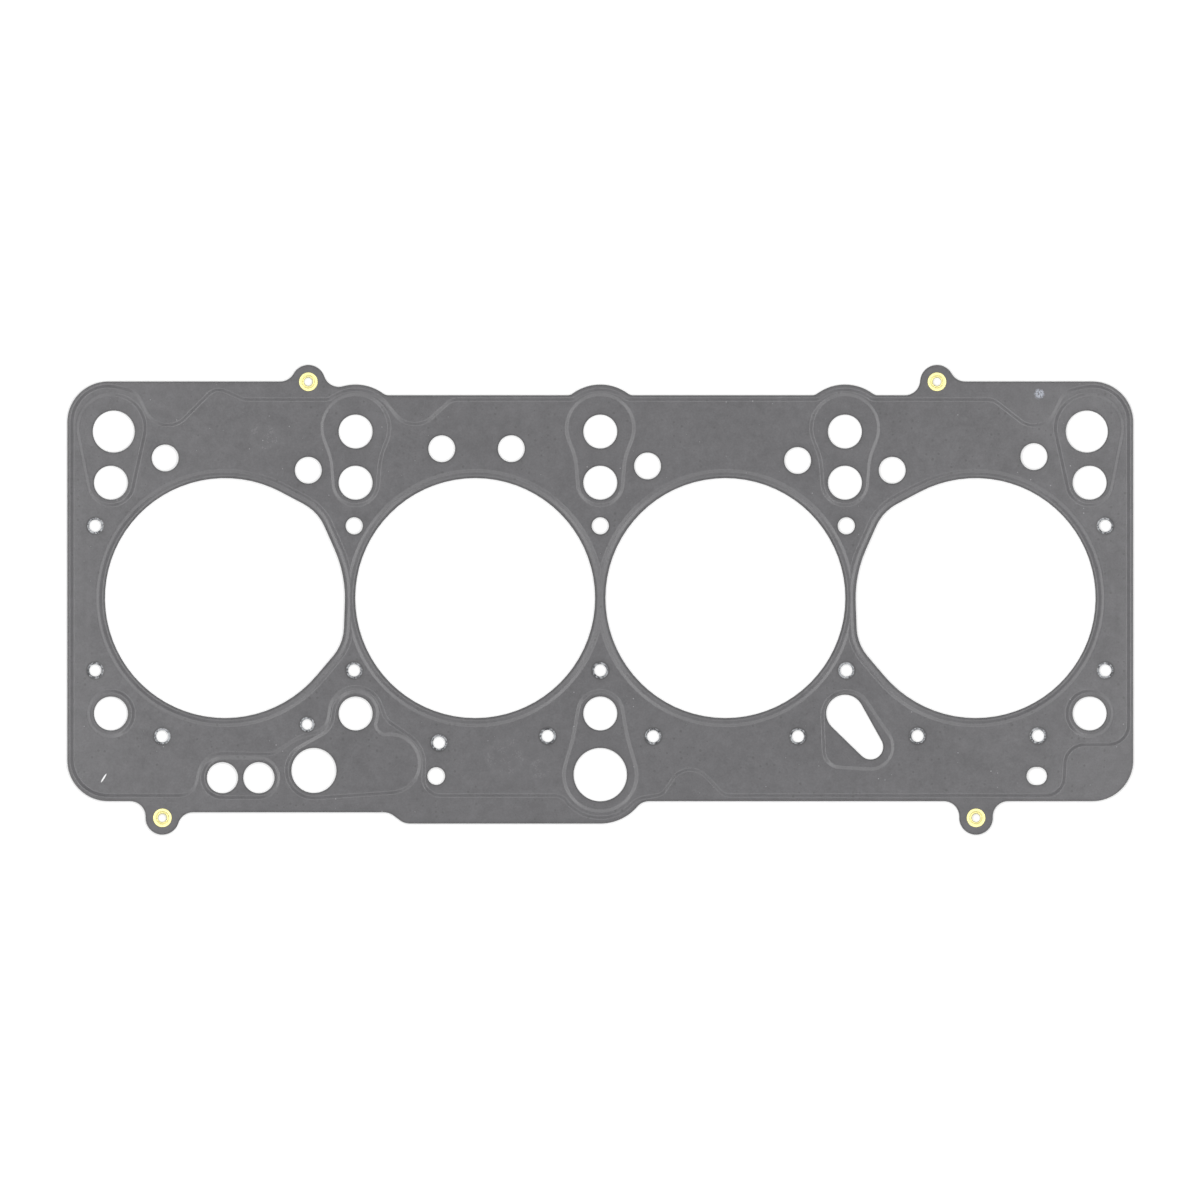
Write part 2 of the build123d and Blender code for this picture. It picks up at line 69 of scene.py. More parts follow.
# ------------------------------------------------------------------ plan curves
@dataclass(frozen=True)
class Belt:
    """A closed plan curve of arcs round given centres, anticlockwise, joined by their common tangents.

    A round is (x, y, radius). A positive radius is a convex arc, with the metal on the side of its centre,
    and a negative one is a hollow arc. Adding a width to every radius gives the parallel curve.

    Args:
        rounds: the arcs in order; a single one is a full circle.
        sag: how far a chord may leave its arc, in millimetres.
        widest_step: the largest turn of one chord, in radians.
    """

    rounds: tuple[Round, ...]
    sag: float = 0.01
    widest_step: float = np.radians(10)

    def spans(self) -> tuple[Array, Array, Array, Array]:
        """Centres, signed radii, first headings and turns of the arcs.

        The line from one arc to the next leaves at the angle between their centres plus
        arcsin(difference of the radii / distance of the centres).

        Returns:
            Arrays with one row for each arc.
        """
        table = np.array(self.rounds, float)
        centres, radii = table[:, :2], table[:, 2]
        if len(table) == 1:
            return centres, radii, np.zeros(1), np.full(1, 2 * np.pi)
        ahead = np.roll(centres, -1, axis=0) - centres
        lean = (radii - np.roll(radii, -1)) / np.hypot(ahead[:, 0], ahead[:, 1])
        leave = np.arctan2(ahead[:, 1], ahead[:, 0]) + np.arcsin(np.clip(lean, -1, 1))
        arrive = np.roll(leave, 1)
        turn = np.mod(leave - arrive, 2 * np.pi)
        return centres, radii, arrive, np.where(radii < 0, turn - 2 * np.pi, turn)

    def line(self, grow: float = 0.0) -> Array:
        """Points along the parallel curve that lies the given width outside.

        Point = centre + (radius + width) * (sin heading, -cos heading), with the headings evenly spaced
        over each arc, at the same places for every width.

        Args:
            grow: width outside the curve, in millimetres; negative lies inside.

        Returns:
            One row (x, y) for each point, closed without repeating the first.
        """
        centres, radii, arrive, turn = self.spans()
        step = np.minimum(self.widest_step, 2 * np.arccos(1 - self.sag / np.abs(radii)))
        counts = np.maximum(np.ceil(np.abs(turn) / step).astype(int), 1)
        owner = np.repeat(np.arange(len(radii)), counts + 1)
        first = np.cumsum(counts + 1) - (counts + 1)
        share = (np.arange(owner.size) - first[owner]) / counts[owner]
        heading = arrive[owner] + turn[owner] * share
        reach = (radii[owner] + grow)[:, None]
        points = centres[owner] + reach * np.column_stack((np.sin(heading), -np.cos(heading)))
        apart = np.linalg.norm(points - np.roll(points, 1, axis=0), axis=1)
        return points[apart > SAME_POINT]

    def distance(self, points: Array) -> Array:
        """Signed distance of points from the curve, positive outside.

        Each point is measured to every arc and line whose span it lies in: |p - centre| - radius for an arc,
        (p - start) . outward normal for a line. The nearest of them counts.

        Args:
            points: rows (x, y) in millimetres.

        Returns:
            One distance for each point.
        """
        centres, radii, arrive, turn = self.spans()
        away = points[:, None, :] - centres[None]
        reach = np.hypot(away[..., 0], away[..., 1])
        side = np.sign(radii)
        to_arc = side * reach - radii
        angle = np.arctan2(away[..., 1], away[..., 0])
        passed = np.mod(side * (angle - arrive) + np.pi / 2, 2 * np.pi)
        inside = passed <= np.abs(turn) + SLACK
        gaps = [np.where(inside, to_arc, np.inf)]
        if len(self.rounds) > 1:
            leave = arrive + turn
            normal = np.column_stack((np.sin(leave), -np.cos(leave)))
            along = np.column_stack((np.cos(leave), np.sin(leave)))
            start = centres + radii[:, None] * normal
            end = np.roll(centres, -1, axis=0) + np.roll(radii, -1)[:, None] * normal
            length = ((end - start) * along).sum(1)
            from_start = points[:, None, :] - start[None]
            run = (from_start * along).sum(2)
            on_line = (run >= -SLACK) & (run <= length + SLACK)
            gaps.append(np.where(on_line, (from_start * normal).sum(2), np.inf))
        every = np.concatenate(gaps, axis=1)
        nearest = np.argmin(np.abs(every), axis=1)
        return every[np.arange(len(points)), nearest]


def beside(point: Point | Round, offset: Point) -> Point:
    """Point at an offset from another one."""
    return point[0] + offset[0], point[1] + offset[1]


def polar(centre: Point, reach: float, angle: float, side: int = 1) -> Point:
    """Point at a reach and an angle in degrees from a centre; the side -1 mirrors it to the left."""
    turn = np.radians(angle)
    return beside(centre, (side * reach * np.cos(turn), reach * np.sin(turn)))


def convex(centre: Point | Round, radius: float) -> Round:
    """An arc with the metal on the side of its centre."""
    return centre[0], centre[1], radius


def hollow(centre: Point | Round, radius: float) -> Round:
    """An arc with the metal outside it."""
    return centre[0], centre[1], -radius


def disc(centre: Point | Round, radius: float) -> Belt:
    """A full circle."""
    return Belt((convex(centre, radius),))


def blend_to_edge(circle: Round, edge: float, radius: float, side: int) -> Round:
    """Hollow arc that joins a convex arc to a level edge.

    Its centre lies one radius beyond the edge, and circle radius + blend radius from the circle's centre.

    Args:
        circle: the convex arc.
        edge: level of the edge, in y.
        radius: radius of the blend.
        side: -1 for the blend on the left of the circle, 1 for the right.

    Returns:
        The hollow arc.
    """
    y = edge + (1 if circle[1] > 0 else -1) * radius
    run = ((circle[2] + radius) ** 2 - (y - circle[1]) ** 2) ** 0.5
    return hollow((circle[0] + side * run, y), radius)


def blend_between(first: Round, second: Round, radius: float) -> Round:
    """Hollow arc that joins two convex arcs, to the right of the way from the first to the second.

    Its centre is where circles of (each radius + blend radius) round the two centres cross.

    Args:
        first: the arc that the way starts from.
        second: the arc that the way ends at.
        radius: radius of the blend.

    Returns:
        The hollow arc.
    """
    dx, dy = second[0] - first[0], second[1] - first[1]
    gap = (dx * dx + dy * dy) ** 0.5
    near = first[2] + radius
    along = (near ** 2 - (second[2] + radius) ** 2 + gap ** 2) / (2 * gap)
    aside = (near ** 2 - along ** 2) ** 0.5
    return hollow(beside(first, ((along * dx + aside * dy) / gap, (along * dy - aside * dx) / gap)), radius)


def over_bumps(bumps: list[Round], level: float, radius: float) -> list[Round]:
    """Bumps of an upper edge, from right to left, each between its two blends to the level of the edge."""
    return [arc for bump in bumps[::-1]
            for arc in (blend_to_edge(bump, level, radius, 1), bump, blend_to_edge(bump, level, radius, -1))]


def in_row(count: int, pitch: float) -> list[float]:
    """Places along the row, evenly spaced about its middle."""
    return [(step - (count - 1) / 2) * pitch for step in range(count)]


# ------------------------------------------------------------------ plan of the gasket
@dataclass(frozen=True)
class Passages:
    """Cylinder openings, bolt holes and fluid passages, with their places."""

    cylinder_count: int = 4
    bolt_count: int = 5
    vent_count: int = 3
    cylinder_pitch: float = 90.0
    bore_radius: float = 43.15
    pocket_radius: float = 16.6
    pocket_depth: float = 1.55
    pocket_angles: Point = (-21.2, 43.0)
    bolt_pitch: float = 88.0
    bolt_row: float = 41.5
    bolt_hole: float = 6.1
    breather_row: float = 59.9
    breather_hole: float = 6.1
    end_breather_inset: float = 1.0
    end_breather_hole: float = 7.55
    oil_main_drop: float = 22.0
    oil_main_hole: float = 9.6
    oil_return_offset: Point = (-15.0, -20.5)
    oil_return_hole: float = 8.1
    oil_pair_offset: Point = (-41.35, -23.1)
    oil_pair_spacing: float = 13.1
    oil_pair_hole: float = 5.6
    slot_number: int = 3
    slot_end_offset: Point = (9.2, -12.0)
    slot_end_hole: float = 4.55
    slot_bolt_hole: float = 6.75
    coolant_hole: float = 4.82
    coolant_places: tuple = (((113.1, 11.65), (56.9, 11.75)), ((102.6, 11.9), (76.4, 12.15)),
                             ((120.5, 12.0), (62.3, 12.75)), ((123.1, 11.75), (67.6, 11.9)))
    vent_pitch: float = 88.5
    vent_row: float = 26.0
    vent_hole: float = 3.08
    metering_hole: float = 2.95
    small_metering_hole: float = 2.65
    end_metering_x: float = 181.6
    metering_places: tuple = (((-114.4, 11.4),), ((-104.0, 10.45), (-62.25, 12.9)),
                              ((-117.6, 12.95), (-62.3, 13.0)), ((-112.85, 10.65), (-65.6, 11.2)))
    small_metering_place: Point = (-56.9, 11.05)
    locating_row: float = -64.0
    locating_shift: float = 29.0
    locating_hole: float = 3.17
    locating_slot_shift: float = -19.0
    locating_slot_width: float = 6.5
    locating_slot_travel: float = 0.8

    @property
    def cylinders(self) -> list[Point]:
        """Centres of the cylinder openings."""
        return [(x, 0.0) for x in in_row(self.cylinder_count, self.cylinder_pitch)]

    @property
    def lower_bolts(self) -> list[Point]:
        """Centres of the bolt holes below the cylinders; the fourth is the head of a slot."""
        return [(x, -self.bolt_row) for x in in_row(self.bolt_count, self.bolt_pitch)]

    @property
    def breathers(self) -> list[Point]:
        """Centres of the breather holes, from left to right."""
        x = in_row(self.bolt_count, self.bolt_pitch)
        x[0] += self.end_breather_inset
        x[-1] -= self.end_breather_inset
        return [(place, self.breather_row) for place in x]

    @property
    def oil_main(self) -> Point:
        """Centre of the main oil passage."""
        return beside(self.lower_bolts[2], (0, -self.oil_main_drop))

    @property
    def oil_return(self) -> Point:
        """Centre of the oil return."""
        return beside(self.lower_bolts[1], self.oil_return_offset)

    @property
    def oil_pair(self) -> list[Point]:
        """Centres of the two oil holes side by side."""
        middle = beside(self.lower_bolts[1], self.oil_pair_offset)
        return [beside(middle, (side * self.oil_pair_spacing / 2, 0)) for side in (-1, 1)]

    @property
    def slot_end(self) -> Point:
        """Centre of the narrow end of the bolt slot."""
        return beside(self.lower_bolts[self.slot_number], self.slot_end_offset)

    @property
    def locating_place(self) -> Point:
        """Centre of the round locating hole."""
        return self.lower_bolts[1][0] + self.locating_shift, self.locating_row

    def beyond_edge(self, centre: Point, places: tuple) -> list[Point]:
        """Centres outside the edge of a cylinder opening.

        Point = centre + (bore radius + distance) * (cos angle, sin angle).

        Args:
            centre: centre of the opening.
            places: pairs (angle in degrees, distance in millimetres).

        Returns:
            One point for each pair.
        """
        return [polar(centre, self.bore_radius + out, angle) for angle, out in places]

    def cylinder_opening(self, number: int) -> Belt:
        """Edge of a cylinder opening; the end ones have two shallow valve pockets towards their neighbour.

        Args:
            number: number of the cylinder, from the left.

        Returns:
            The edge as a belt.
        """
        centre = self.cylinders[number]
        bore = convex(centre, self.bore_radius)
        if 0 < number < self.cylinder_count - 1:
            return Belt((bore,))
        inward = 1 if number == 0 else -1
        reach = self.bore_radius + self.pocket_depth - self.pocket_radius
        pockets = [convex(polar(centre, reach, angle, inward), self.pocket_radius)
                   for angle in self.pocket_angles[::inward]]
        return Belt((bore, pockets[0], bore, pockets[1]))

    def openings(self) -> list[Belt]:
        """Edges of the four cylinder openings."""
        return [self.cylinder_opening(number) for number in range(self.cylinder_count)]

    def holes(self) -> list[Belt]:
        """Edges of every other hole in the outer sheets, apart from the eyelet holes."""
        upper = [(x, self.bolt_row) for x, _ in self.lower_bolts]
        lower = self.lower_bolts
        slot_head = lower.pop(self.slot_number)
        groups = [(upper + lower, self.bolt_hole),
                  (self.breathers[1:-1], self.breather_hole),
                  ([self.breathers[0], self.breathers[-1]], self.end_breather_hole),
                  ([self.oil_main], self.oil_main_hole),
                  ([self.oil_return], self.oil_return_hole),
                  (self.oil_pair, self.oil_pair_hole)]
        for centre, coolant, metering in zip(self.cylinders, self.coolant_places, self.metering_places):
            groups += [(self.beyond_edge(centre, coolant), self.coolant_hole),
                       (self.beyond_edge(centre, metering), self.metering_hole)]
        vents = in_row(self.vent_count, self.vent_pitch)
        ends = [(side * self.end_metering_x, level * self.vent_row) for side in (-1, 1) for level in (-1, 1)]
        groups += [(self.beyond_edge(self.cylinders[0], (self.small_metering_place,)),
                    self.small_metering_hole),
                   ([(x, self.vent_row) for x in vents], self.vent_hole),
                   ([(x, -self.vent_row) for x in vents] + ends, self.metering_hole),
                   ([self.locating_place], self.locating_hole)]
        belts = [disc(place, radius) for places, radius in groups for place in places]
        slot_x = lower[-1][0] + self.locating_slot_shift
        half = self.locating_slot_travel / 2
        width = self.locating_slot_width / 2
        belts.append(Belt(tuple(convex((slot_x + side * half, self.locating_row), width)
                                for side in (-1, 1))))
        belts.append(Belt((convex(slot_head, self.slot_bolt_hole),
                           convex(self.slot_end, self.slot_end_hole))))
        return belts


@dataclass(frozen=True)
class OuterEdge:
    """Outer edge of the sheets, with its corners, breather bumps, lower steps and lugs."""

    holes: Passages
    half_length: float = 191.7
    corner_radius: float = 14.7
    bump_radius: float = 16.9
    bump_rise: float = 3.85
    bump_blend: float = 3.2
    top_step: float = 4.95
    oil_edge_radius: float = 17.6
    bottom_step_rise: float = 4.05
    bottom_step_shift: float = 14.8
    bottom_step_run: float = 9.4
    bottom_step_radius: float = 6.0
    lower_edge_rise: float = 4.0
    lug_shifts: tuple = ((1, -17.0), (3, 33.1), (0, 18.5), (3, 47.15))
    upper_lug_sink: float = 0.1
    lower_lug_reach: float = 6.0
    lug_radius: float = 6.05
    lug_blend: float = 5.5

    @property
    def top_middle(self) -> float:
        """Level of the upper edge between the bumps."""
        return self.holes.breather_row + self.bump_radius - self.bump_rise

    @property
    def top(self) -> float:
        """Level of the upper edge at the ends."""
        return self.top_middle + self.top_step

    @property
    def deep(self) -> float:
        """Lowest level of the outer edge, below the main oil passage."""
        return self.holes.oil_main[1] - self.oil_edge_radius

    @property
    def left_level(self) -> float:
        """Level of the lower edge to the left of the step."""
        return self.deep + self.bottom_step_rise

    @property
    def bottom(self) -> float:
        """Level of the lower edge at both ends."""
        return self.left_level + self.lower_edge_rise

    def lugs(self) -> list[Point]:
        """Centres of the lugs: upper left, upper right, lower left, lower right."""
        levels = (self.top - self.upper_lug_sink,) * 2 + (self.bottom - self.lower_lug_reach,) * 2
        columns = in_row(self.holes.bolt_count, self.holes.bolt_pitch)
        return [(columns[number] + shift, level)
                for (number, shift), level in zip(self.lug_shifts, levels)]

    def belt(self) -> Belt:
        """The whole outer edge, anticlockwise from the lower left corner."""
        lugs = [convex(place, self.lug_radius) for place in self.lugs()]
        upper_left, upper_right, lower_left, lower_right = lugs
        bumps = [convex(place, self.bump_radius) for place in self.holes.breathers[1:-1]]
        corner = self.half_length - self.corner_radius
        oil = convex(self.holes.oil_main, self.oil_edge_radius)
        step = self.holes.lower_bolts[1][0] + self.bottom_step_shift - self.bottom_step_run / 2
        blend = self.lug_blend
        rounds = [convex((-corner, self.bottom + self.corner_radius), self.corner_radius),
                  blend_to_edge(lower_left, self.bottom, blend, -1),
                  lower_left,
                  blend_to_edge(lower_left, self.left_level, blend, 1),
                  hollow((step, self.left_level - self.bottom_step_radius), self.bottom_step_radius),
                  convex((step + self.bottom_step_run, self.deep + self.bottom_step_radius),
                         self.bottom_step_radius),
                  oil,
                  blend_to_edge(oil, self.bottom, blend, 1),
                  blend_to_edge(lower_right, self.bottom, blend, -1),
                  lower_right,
                  blend_to_edge(lower_right, self.bottom, blend, 1),
                  convex((corner, self.bottom + self.corner_radius), self.corner_radius),
                  convex((corner, self.top - self.corner_radius), self.corner_radius),
                  blend_to_edge(upper_right, self.top, blend, 1),
                  upper_right,
                  blend_to_edge(upper_right, self.top_middle, blend, -1)]
        rounds += over_bumps(bumps, self.top_middle, self.bump_blend)[:-1]
        rounds += [blend_between(bumps[0], upper_left, blend),
                   upper_left,
                   blend_to_edge(upper_left, self.top, blend, -1),
                   convex((-corner, self.top - self.corner_radius), self.corner_radius)]
        return Belt(tuple(rounds))


@dataclass(frozen=True)
class SealingPads:
    """Raised pads inside the lower left bay, with a narrow channel round them."""

    holes: Passages
    channel: float = 1.6
    pair_radius: float = 7.15
    return_radius: float = 9.9
    return_channel: float = 3.1
    bolt_radius: float = 7.9
    shoulder_offset: Point = (-16.3, -0.6)
    shoulder_radius: float = 6.5
    nose_offset: Point = (16.7, 2.1)
    nose_radius: float = 6.9
    end_offset: Point = (12.5, -18.0)
    end_radius: float = 10.5
    notch_radius: float = 3.7

    @property
    def bolt(self) -> Point:
        """Centre of the bolt hole that the large pad goes round."""
        return self.holes.lower_bolts[1]

    def belts(self) -> list[Belt]:
        """The pad round the oil pair and the pad round the bolt hole and the oil return."""
        bolt_pad = convex(self.bolt, self.bolt_radius)
        end_pad = convex(beside(self.bolt, self.end_offset), self.end_radius)
        pair = tuple(convex(place, self.pair_radius) for place in self.holes.oil_pair)
        large = (bolt_pad,
                 hollow(beside(self.bolt, self.shoulder_offset), self.shoulder_radius + self.channel),
                 convex(self.holes.oil_return, self.return_radius),
                 end_pad,
                 blend_between(end_pad, bolt_pad, self.notch_radius))
        return [Belt(pair), Belt(large)]


@dataclass(frozen=True)
class HalfBead:
    """The step that separates the raised middle of the sheets from their margin."""

    holes: Passages
    edge: OuterEdge
    pads: SealingPads
    side_inset: float = 1.7
    top_inset: float = 1.55
    bottom_inset: float = 2.05
    bump_inset: float = 1.9
    bump_blend: float = 3.6
    oil_inset: float = 2.1
    oil_blend: float = 5.4
    wave_radius: float = 5.1
    end_turn_offset: Point = (2.7, 7.6)
    end_turn_radius: float = 7.8
    right_bay_offset: Point = (19.0, 10.2)
    right_bay_radius: float = 8.0
    right_bay_shoulder: float = 16.5
    left_bay_offset: Point = (19.4, 11.0)
    left_bay_radius: float = 8.7
    left_bay_shoulder: float = 18.4
    left_ridge_rise: float = 3.5
    left_ridge_run: float = 10.4
    middle_bay_shift: float = 21.3
    middle_bay_rise: float = 0.2
    middle_bay_radius: float = 9.0
    middle_bay_shoulder: float = 15.2
    pair_turn_shift: float = 15.6
    pair_turn_radius: float = 6.5
    pair_peak_offset: Point = (-16.3, 11.0)
    pair_peak_radius: float = 5.1
    locating_turn_shift: float = 1.5
    locating_turn_radius: float = 6.1
    oil_shelf_drop: float = 0.7
    oil_shelf_blend: float = 7.2
    bottom_bay_shift: float = 32.4
    bottom_bay_rise: float = 1.7
    bottom_bay_radius: float = 7.6
    bottom_bay_left: float = 12.6
    bottom_bay_right: float = 14.1
    bottom_bay_shoulder: float = 4.3
    corner_bay_offset: Point = (-17.4, 13.15)
    corner_bay_radius: float = 7.2
    corner_bay_left: float = 14.1
    corner_bay_left_radius: float = 6.7
    corner_bay_rise: float = 14.4
    corner_bay_right_radius: float = 7.2

    def lower(self) -> list[Round]:
        """Lower run, from the lower left corner to the right side."""
        low = self.edge.bottom + self.bottom_inset
        corner_x = self.edge.half_length - self.edge.corner_radius
        turn = self.edge.corner_radius - self.side_inset
        bolt, pads = self.pads.bolt, self.pads
        ridge = convex(self.holes.oil_main, self.edge.oil_edge_radius - self.oil_inset)
        bay = (self.holes.lower_bolts[2][0] + self.bottom_bay_shift, low + self.bottom_bay_rise)
        corner_bay = beside((self.edge.half_length, self.edge.bottom), self.corner_bay_offset)
        right_x = self.edge.half_length - self.side_inset - self.corner_bay_right_radius
        shoulder = low + self.bottom_bay_shoulder
        return [convex((-corner_x, low + turn), turn),
                convex((self.holes.oil_pair[0][0] - self.pair_turn_shift, low + self.pair_turn_radius),
                       self.pair_turn_radius),
                hollow(self.holes.oil_pair[0], pads.pair_radius + pads.channel),
                convex(beside(self.holes.oil_return, self.pair_peak_offset), self.pair_peak_radius),
                hollow(self.holes.oil_return, pads.return_radius + pads.return_channel),
                convex(beside(bolt, pads.shoulder_offset), pads.shoulder_radius),
                hollow(bolt, pads.bolt_radius + pads.channel),
                convex(beside(bolt, pads.nose_offset), pads.nose_radius),
                hollow(beside(bolt, pads.end_offset), pads.end_radius + pads.channel),
                convex((self.holes.locating_place[0] + self.locating_turn_shift,
                        low + self.locating_turn_radius), self.locating_turn_radius),
                blend_to_edge(ridge, low, self.oil_blend, -1),
                ridge,
                blend_to_edge(ridge, low - self.oil_shelf_drop, self.oil_shelf_blend, 1),
                convex((bay[0] - self.bottom_bay_left, shoulder), self.bottom_bay_shoulder),
                hollow(bay, self.bottom_bay_radius),
                convex((bay[0] + self.bottom_bay_right, shoulder), self.bottom_bay_shoulder),
                convex((corner_bay[0] - self.corner_bay_left, low + self.corner_bay_left_radius),
                       self.corner_bay_left_radius),
                hollow(corner_bay, self.corner_bay_radius),
                convex((right_x, corner_bay[1] + self.corner_bay_rise), self.corner_bay_right_radius)]

    def upper(self) -> list[Round]:
        """Upper run, from the upper right corner to the left side."""
        high = self.edge.top_middle - self.top_inset
        corner = (self.edge.half_length - self.edge.corner_radius, self.edge.top - self.edge.corner_radius)
        turn = self.edge.corner_radius - self.side_inset
        left_end, *middle, right_end = self.holes.breathers
        bumps = [convex(place, self.edge.bump_radius - self.bump_inset) for place in middle]
        wave = high - self.wave_radius
        right_bay = beside(right_end, (-self.right_bay_offset[0], self.right_bay_offset[1]))
        left_bay = beside(left_end, self.left_bay_offset)
        ridge = (left_bay[0] + self.left_bay_shoulder, wave + self.left_ridge_rise)
        middle_bay = (middle[0][0] + self.middle_bay_shift, high + self.middle_bay_rise)
        rounds = [convex(corner, turn),
                  convex(beside(right_end, (-self.end_turn_offset[0], self.end_turn_offset[1])),
                         self.end_turn_radius),
                  hollow(right_bay, self.right_bay_radius),
                  convex((right_bay[0] - self.right_bay_shoulder, wave), self.wave_radius)]
        rounds += over_bumps(bumps[1:], high, self.bump_blend)
        rounds += [convex((middle_bay[0] + self.middle_bay_shoulder, wave), self.wave_radius),
                   hollow(middle_bay, self.middle_bay_radius),
                   bumps[0],
                   blend_to_edge(bumps[0], high, self.bump_blend, -1),
                   hollow((ridge[0] + self.left_ridge_run, high + self.wave_radius), self.wave_radius),
                   convex(ridge, self.wave_radius),
                   hollow(left_bay, self.left_bay_radius),
                   convex(beside(left_end, self.end_turn_offset), self.end_turn_radius),
                   convex((-corner[0], corner[1]), turn)]
        return rounds

    def belt(self) -> Belt:
        """The whole half bead as one closed curve."""
        return Belt(tuple(self.lower() + self.upper()))


@dataclass(frozen=True)
class BeadLoops:
    """Steps round the bolt holes and passages, low inside them."""

    holes: Passages
    edge: OuterEdge
    bolt_radius: float = 8.1
    breather_radius: float = 12.1
    breather_shift: float = 1.25
    waist_radius: float = 21.7
    waist_rise: float = 4.0
    waist_half: float = 8.5
    end_shift: float = 0.8
    oil_radius: float = 13.1
    oil_waist_radius: float = 14.5
    oil_waist_drop: float = 5.4
    oil_waist_half: float = 9.4
    slot_offset: Point = (0.6, -0.7)
    slot_radius: float = 8.7
    slot_heel_offset: Point = (-1.5, -13.3)
    slot_heel_radius: float = 6.1
    slot_end_radius: float = 8.0

    @staticmethod
    def waisted(lower: Round, upper: Round, radius: float, level: float, half: float) -> Belt:
        """Keyhole-shaped loop round two holes, drawn in between them.

        Args:
            lower: arc round the lower hole.
            upper: arc round the upper hole.
            radius: radius of the hollow sides.
            level: height of the waist, in y.
            half: half the width at the waist.

        Returns:
            The loop as a belt.
        """
        reach = half + radius
        return Belt((lower, hollow((lower[0] + reach, level), radius), upper,
                     hollow((lower[0] - reach, level), radius)))

    def belts(self) -> list[Belt]:
        """All the loops."""
        row, bolts = self.holes.bolt_row, self.holes.lower_bolts
        left_end, *middle, right_end = self.holes.breathers
        loops = [self.waisted(convex((x, row), self.bolt_radius),
                              convex((x, y + self.breather_shift), self.breather_radius),
                              self.waist_radius, row + self.waist_rise, self.waist_half) for x, y in middle]
        for side, bolt, end in ((-1, bolts[0], left_end), (1, bolts[-1], right_end)):
            far = beside(end, (side * self.end_shift, self.breather_shift))
            loops.append(Belt((convex((bolt[0], row), self.bolt_radius), convex(far, self.breather_radius))))
            loops.append(disc(bolt, self.bolt_radius))
        loops.append(self.waisted(convex(self.holes.oil_main, self.oil_radius),
                                  convex(bolts[2], self.bolt_radius),
                                  self.oil_waist_radius, -row - self.oil_waist_drop, self.oil_waist_half))
        loops.append(Belt((convex(beside(bolts[3], self.slot_offset), self.slot_radius),
                           convex(beside(bolts[3], self.slot_heel_offset), self.slot_heel_radius),
                           convex(self.holes.slot_end, self.slot_end_radius))))
        return loops


# ------------------------------------------------------------------ meshes
def smooth(share: Array, bend: float = 0.25) -> Array:
    """Straight ramp with rounded ends: t^2 / 2b(1 - b) up to t = b, then (t - b/2) / (1 - b), and mirrored.

    Args:
        share: t, held between 0 and 1.
        bend: b, the share of the ramp that each rounded end takes.

    Returns:
        The ramp's height, from 0 to 1.
    """
    held = np.clip(share, 0, 1)
    near = np.minimum(held, 1 - held)
    rise = np.where(near < bend, near ** 2 / (2 * bend * (1 - bend)), (near - bend / 2) / (1 - bend))
    return np.where(held < 0.5, rise, 1 - rise)


def new_object(name: str, data: bpy.types.ID) -> Object:
    """A new object at the origin, linked to the scene."""
    made = bpy.data.objects.new(name, data)
    bpy.context.scene.collection.objects.link(made)
    return made


@dataclass
class MeshData:
    """Arrays of a mesh before it goes to Blender.

    Args:
        points: rows (x, y, z) in millimetres.
        faces: rows of three corners, outward.
        normals: one shading normal for each corner of each face.
        slots: number of the material of each face.
        values: one value for each point, by the name of its attribute.
    """

    points: Array
    faces: Array
    normals: Array
    slots: Array
    values: dict[str, Array]

    def to_object(self, name: str, materials: list[Material]) -> Object:
        """Writes the arrays into a new mesh object at the origin.

        Args:
            name: name of the piece.
            materials: materials in the order of the slots.

        Returns:
            The linked object.
        """
        mesh = bpy.data.meshes.new(name)
        count = len(self.faces)
        mesh.vertices.add(len(self.points))
        mesh.vertices.foreach_set("co", (self.points * MM).astype(np.float32).ravel())
        mesh.loops.add(3 * count)
        mesh.loops.foreach_set("vertex_index", self.faces.astype(np.int32).ravel())
        mesh.polygons.add(count)
        mesh.polygons.foreach_set("loop_start", np.arange(0, 3 * count, 3, dtype=np.int32))
        mesh.polygons.foreach_set("material_index", self.slots.astype(np.int32))
        mesh.polygons.foreach_set("use_smooth", np.ones(count, bool))
        mesh.update(calc_edges=True)
        mesh.validate()
        mesh.normals_split_custom_set(self.normals.reshape(-1, 3).astype(float).tolist())
        for title, values in self.values.items():
            attribute = mesh.attributes.new(title, "FLOAT", "POINT")
            attribute.data.foreach_set("value", values.astype(np.float32))
        for material in materials:
            mesh.materials.append(material)
        return new_object(name, mesh)


class Side(Enum):
    """Which of the two outer sheets: the upper one faces up, and the lower one is its mirror image."""

    UPPER = "upper_sheet"
    LOWER = "lower_sheet"


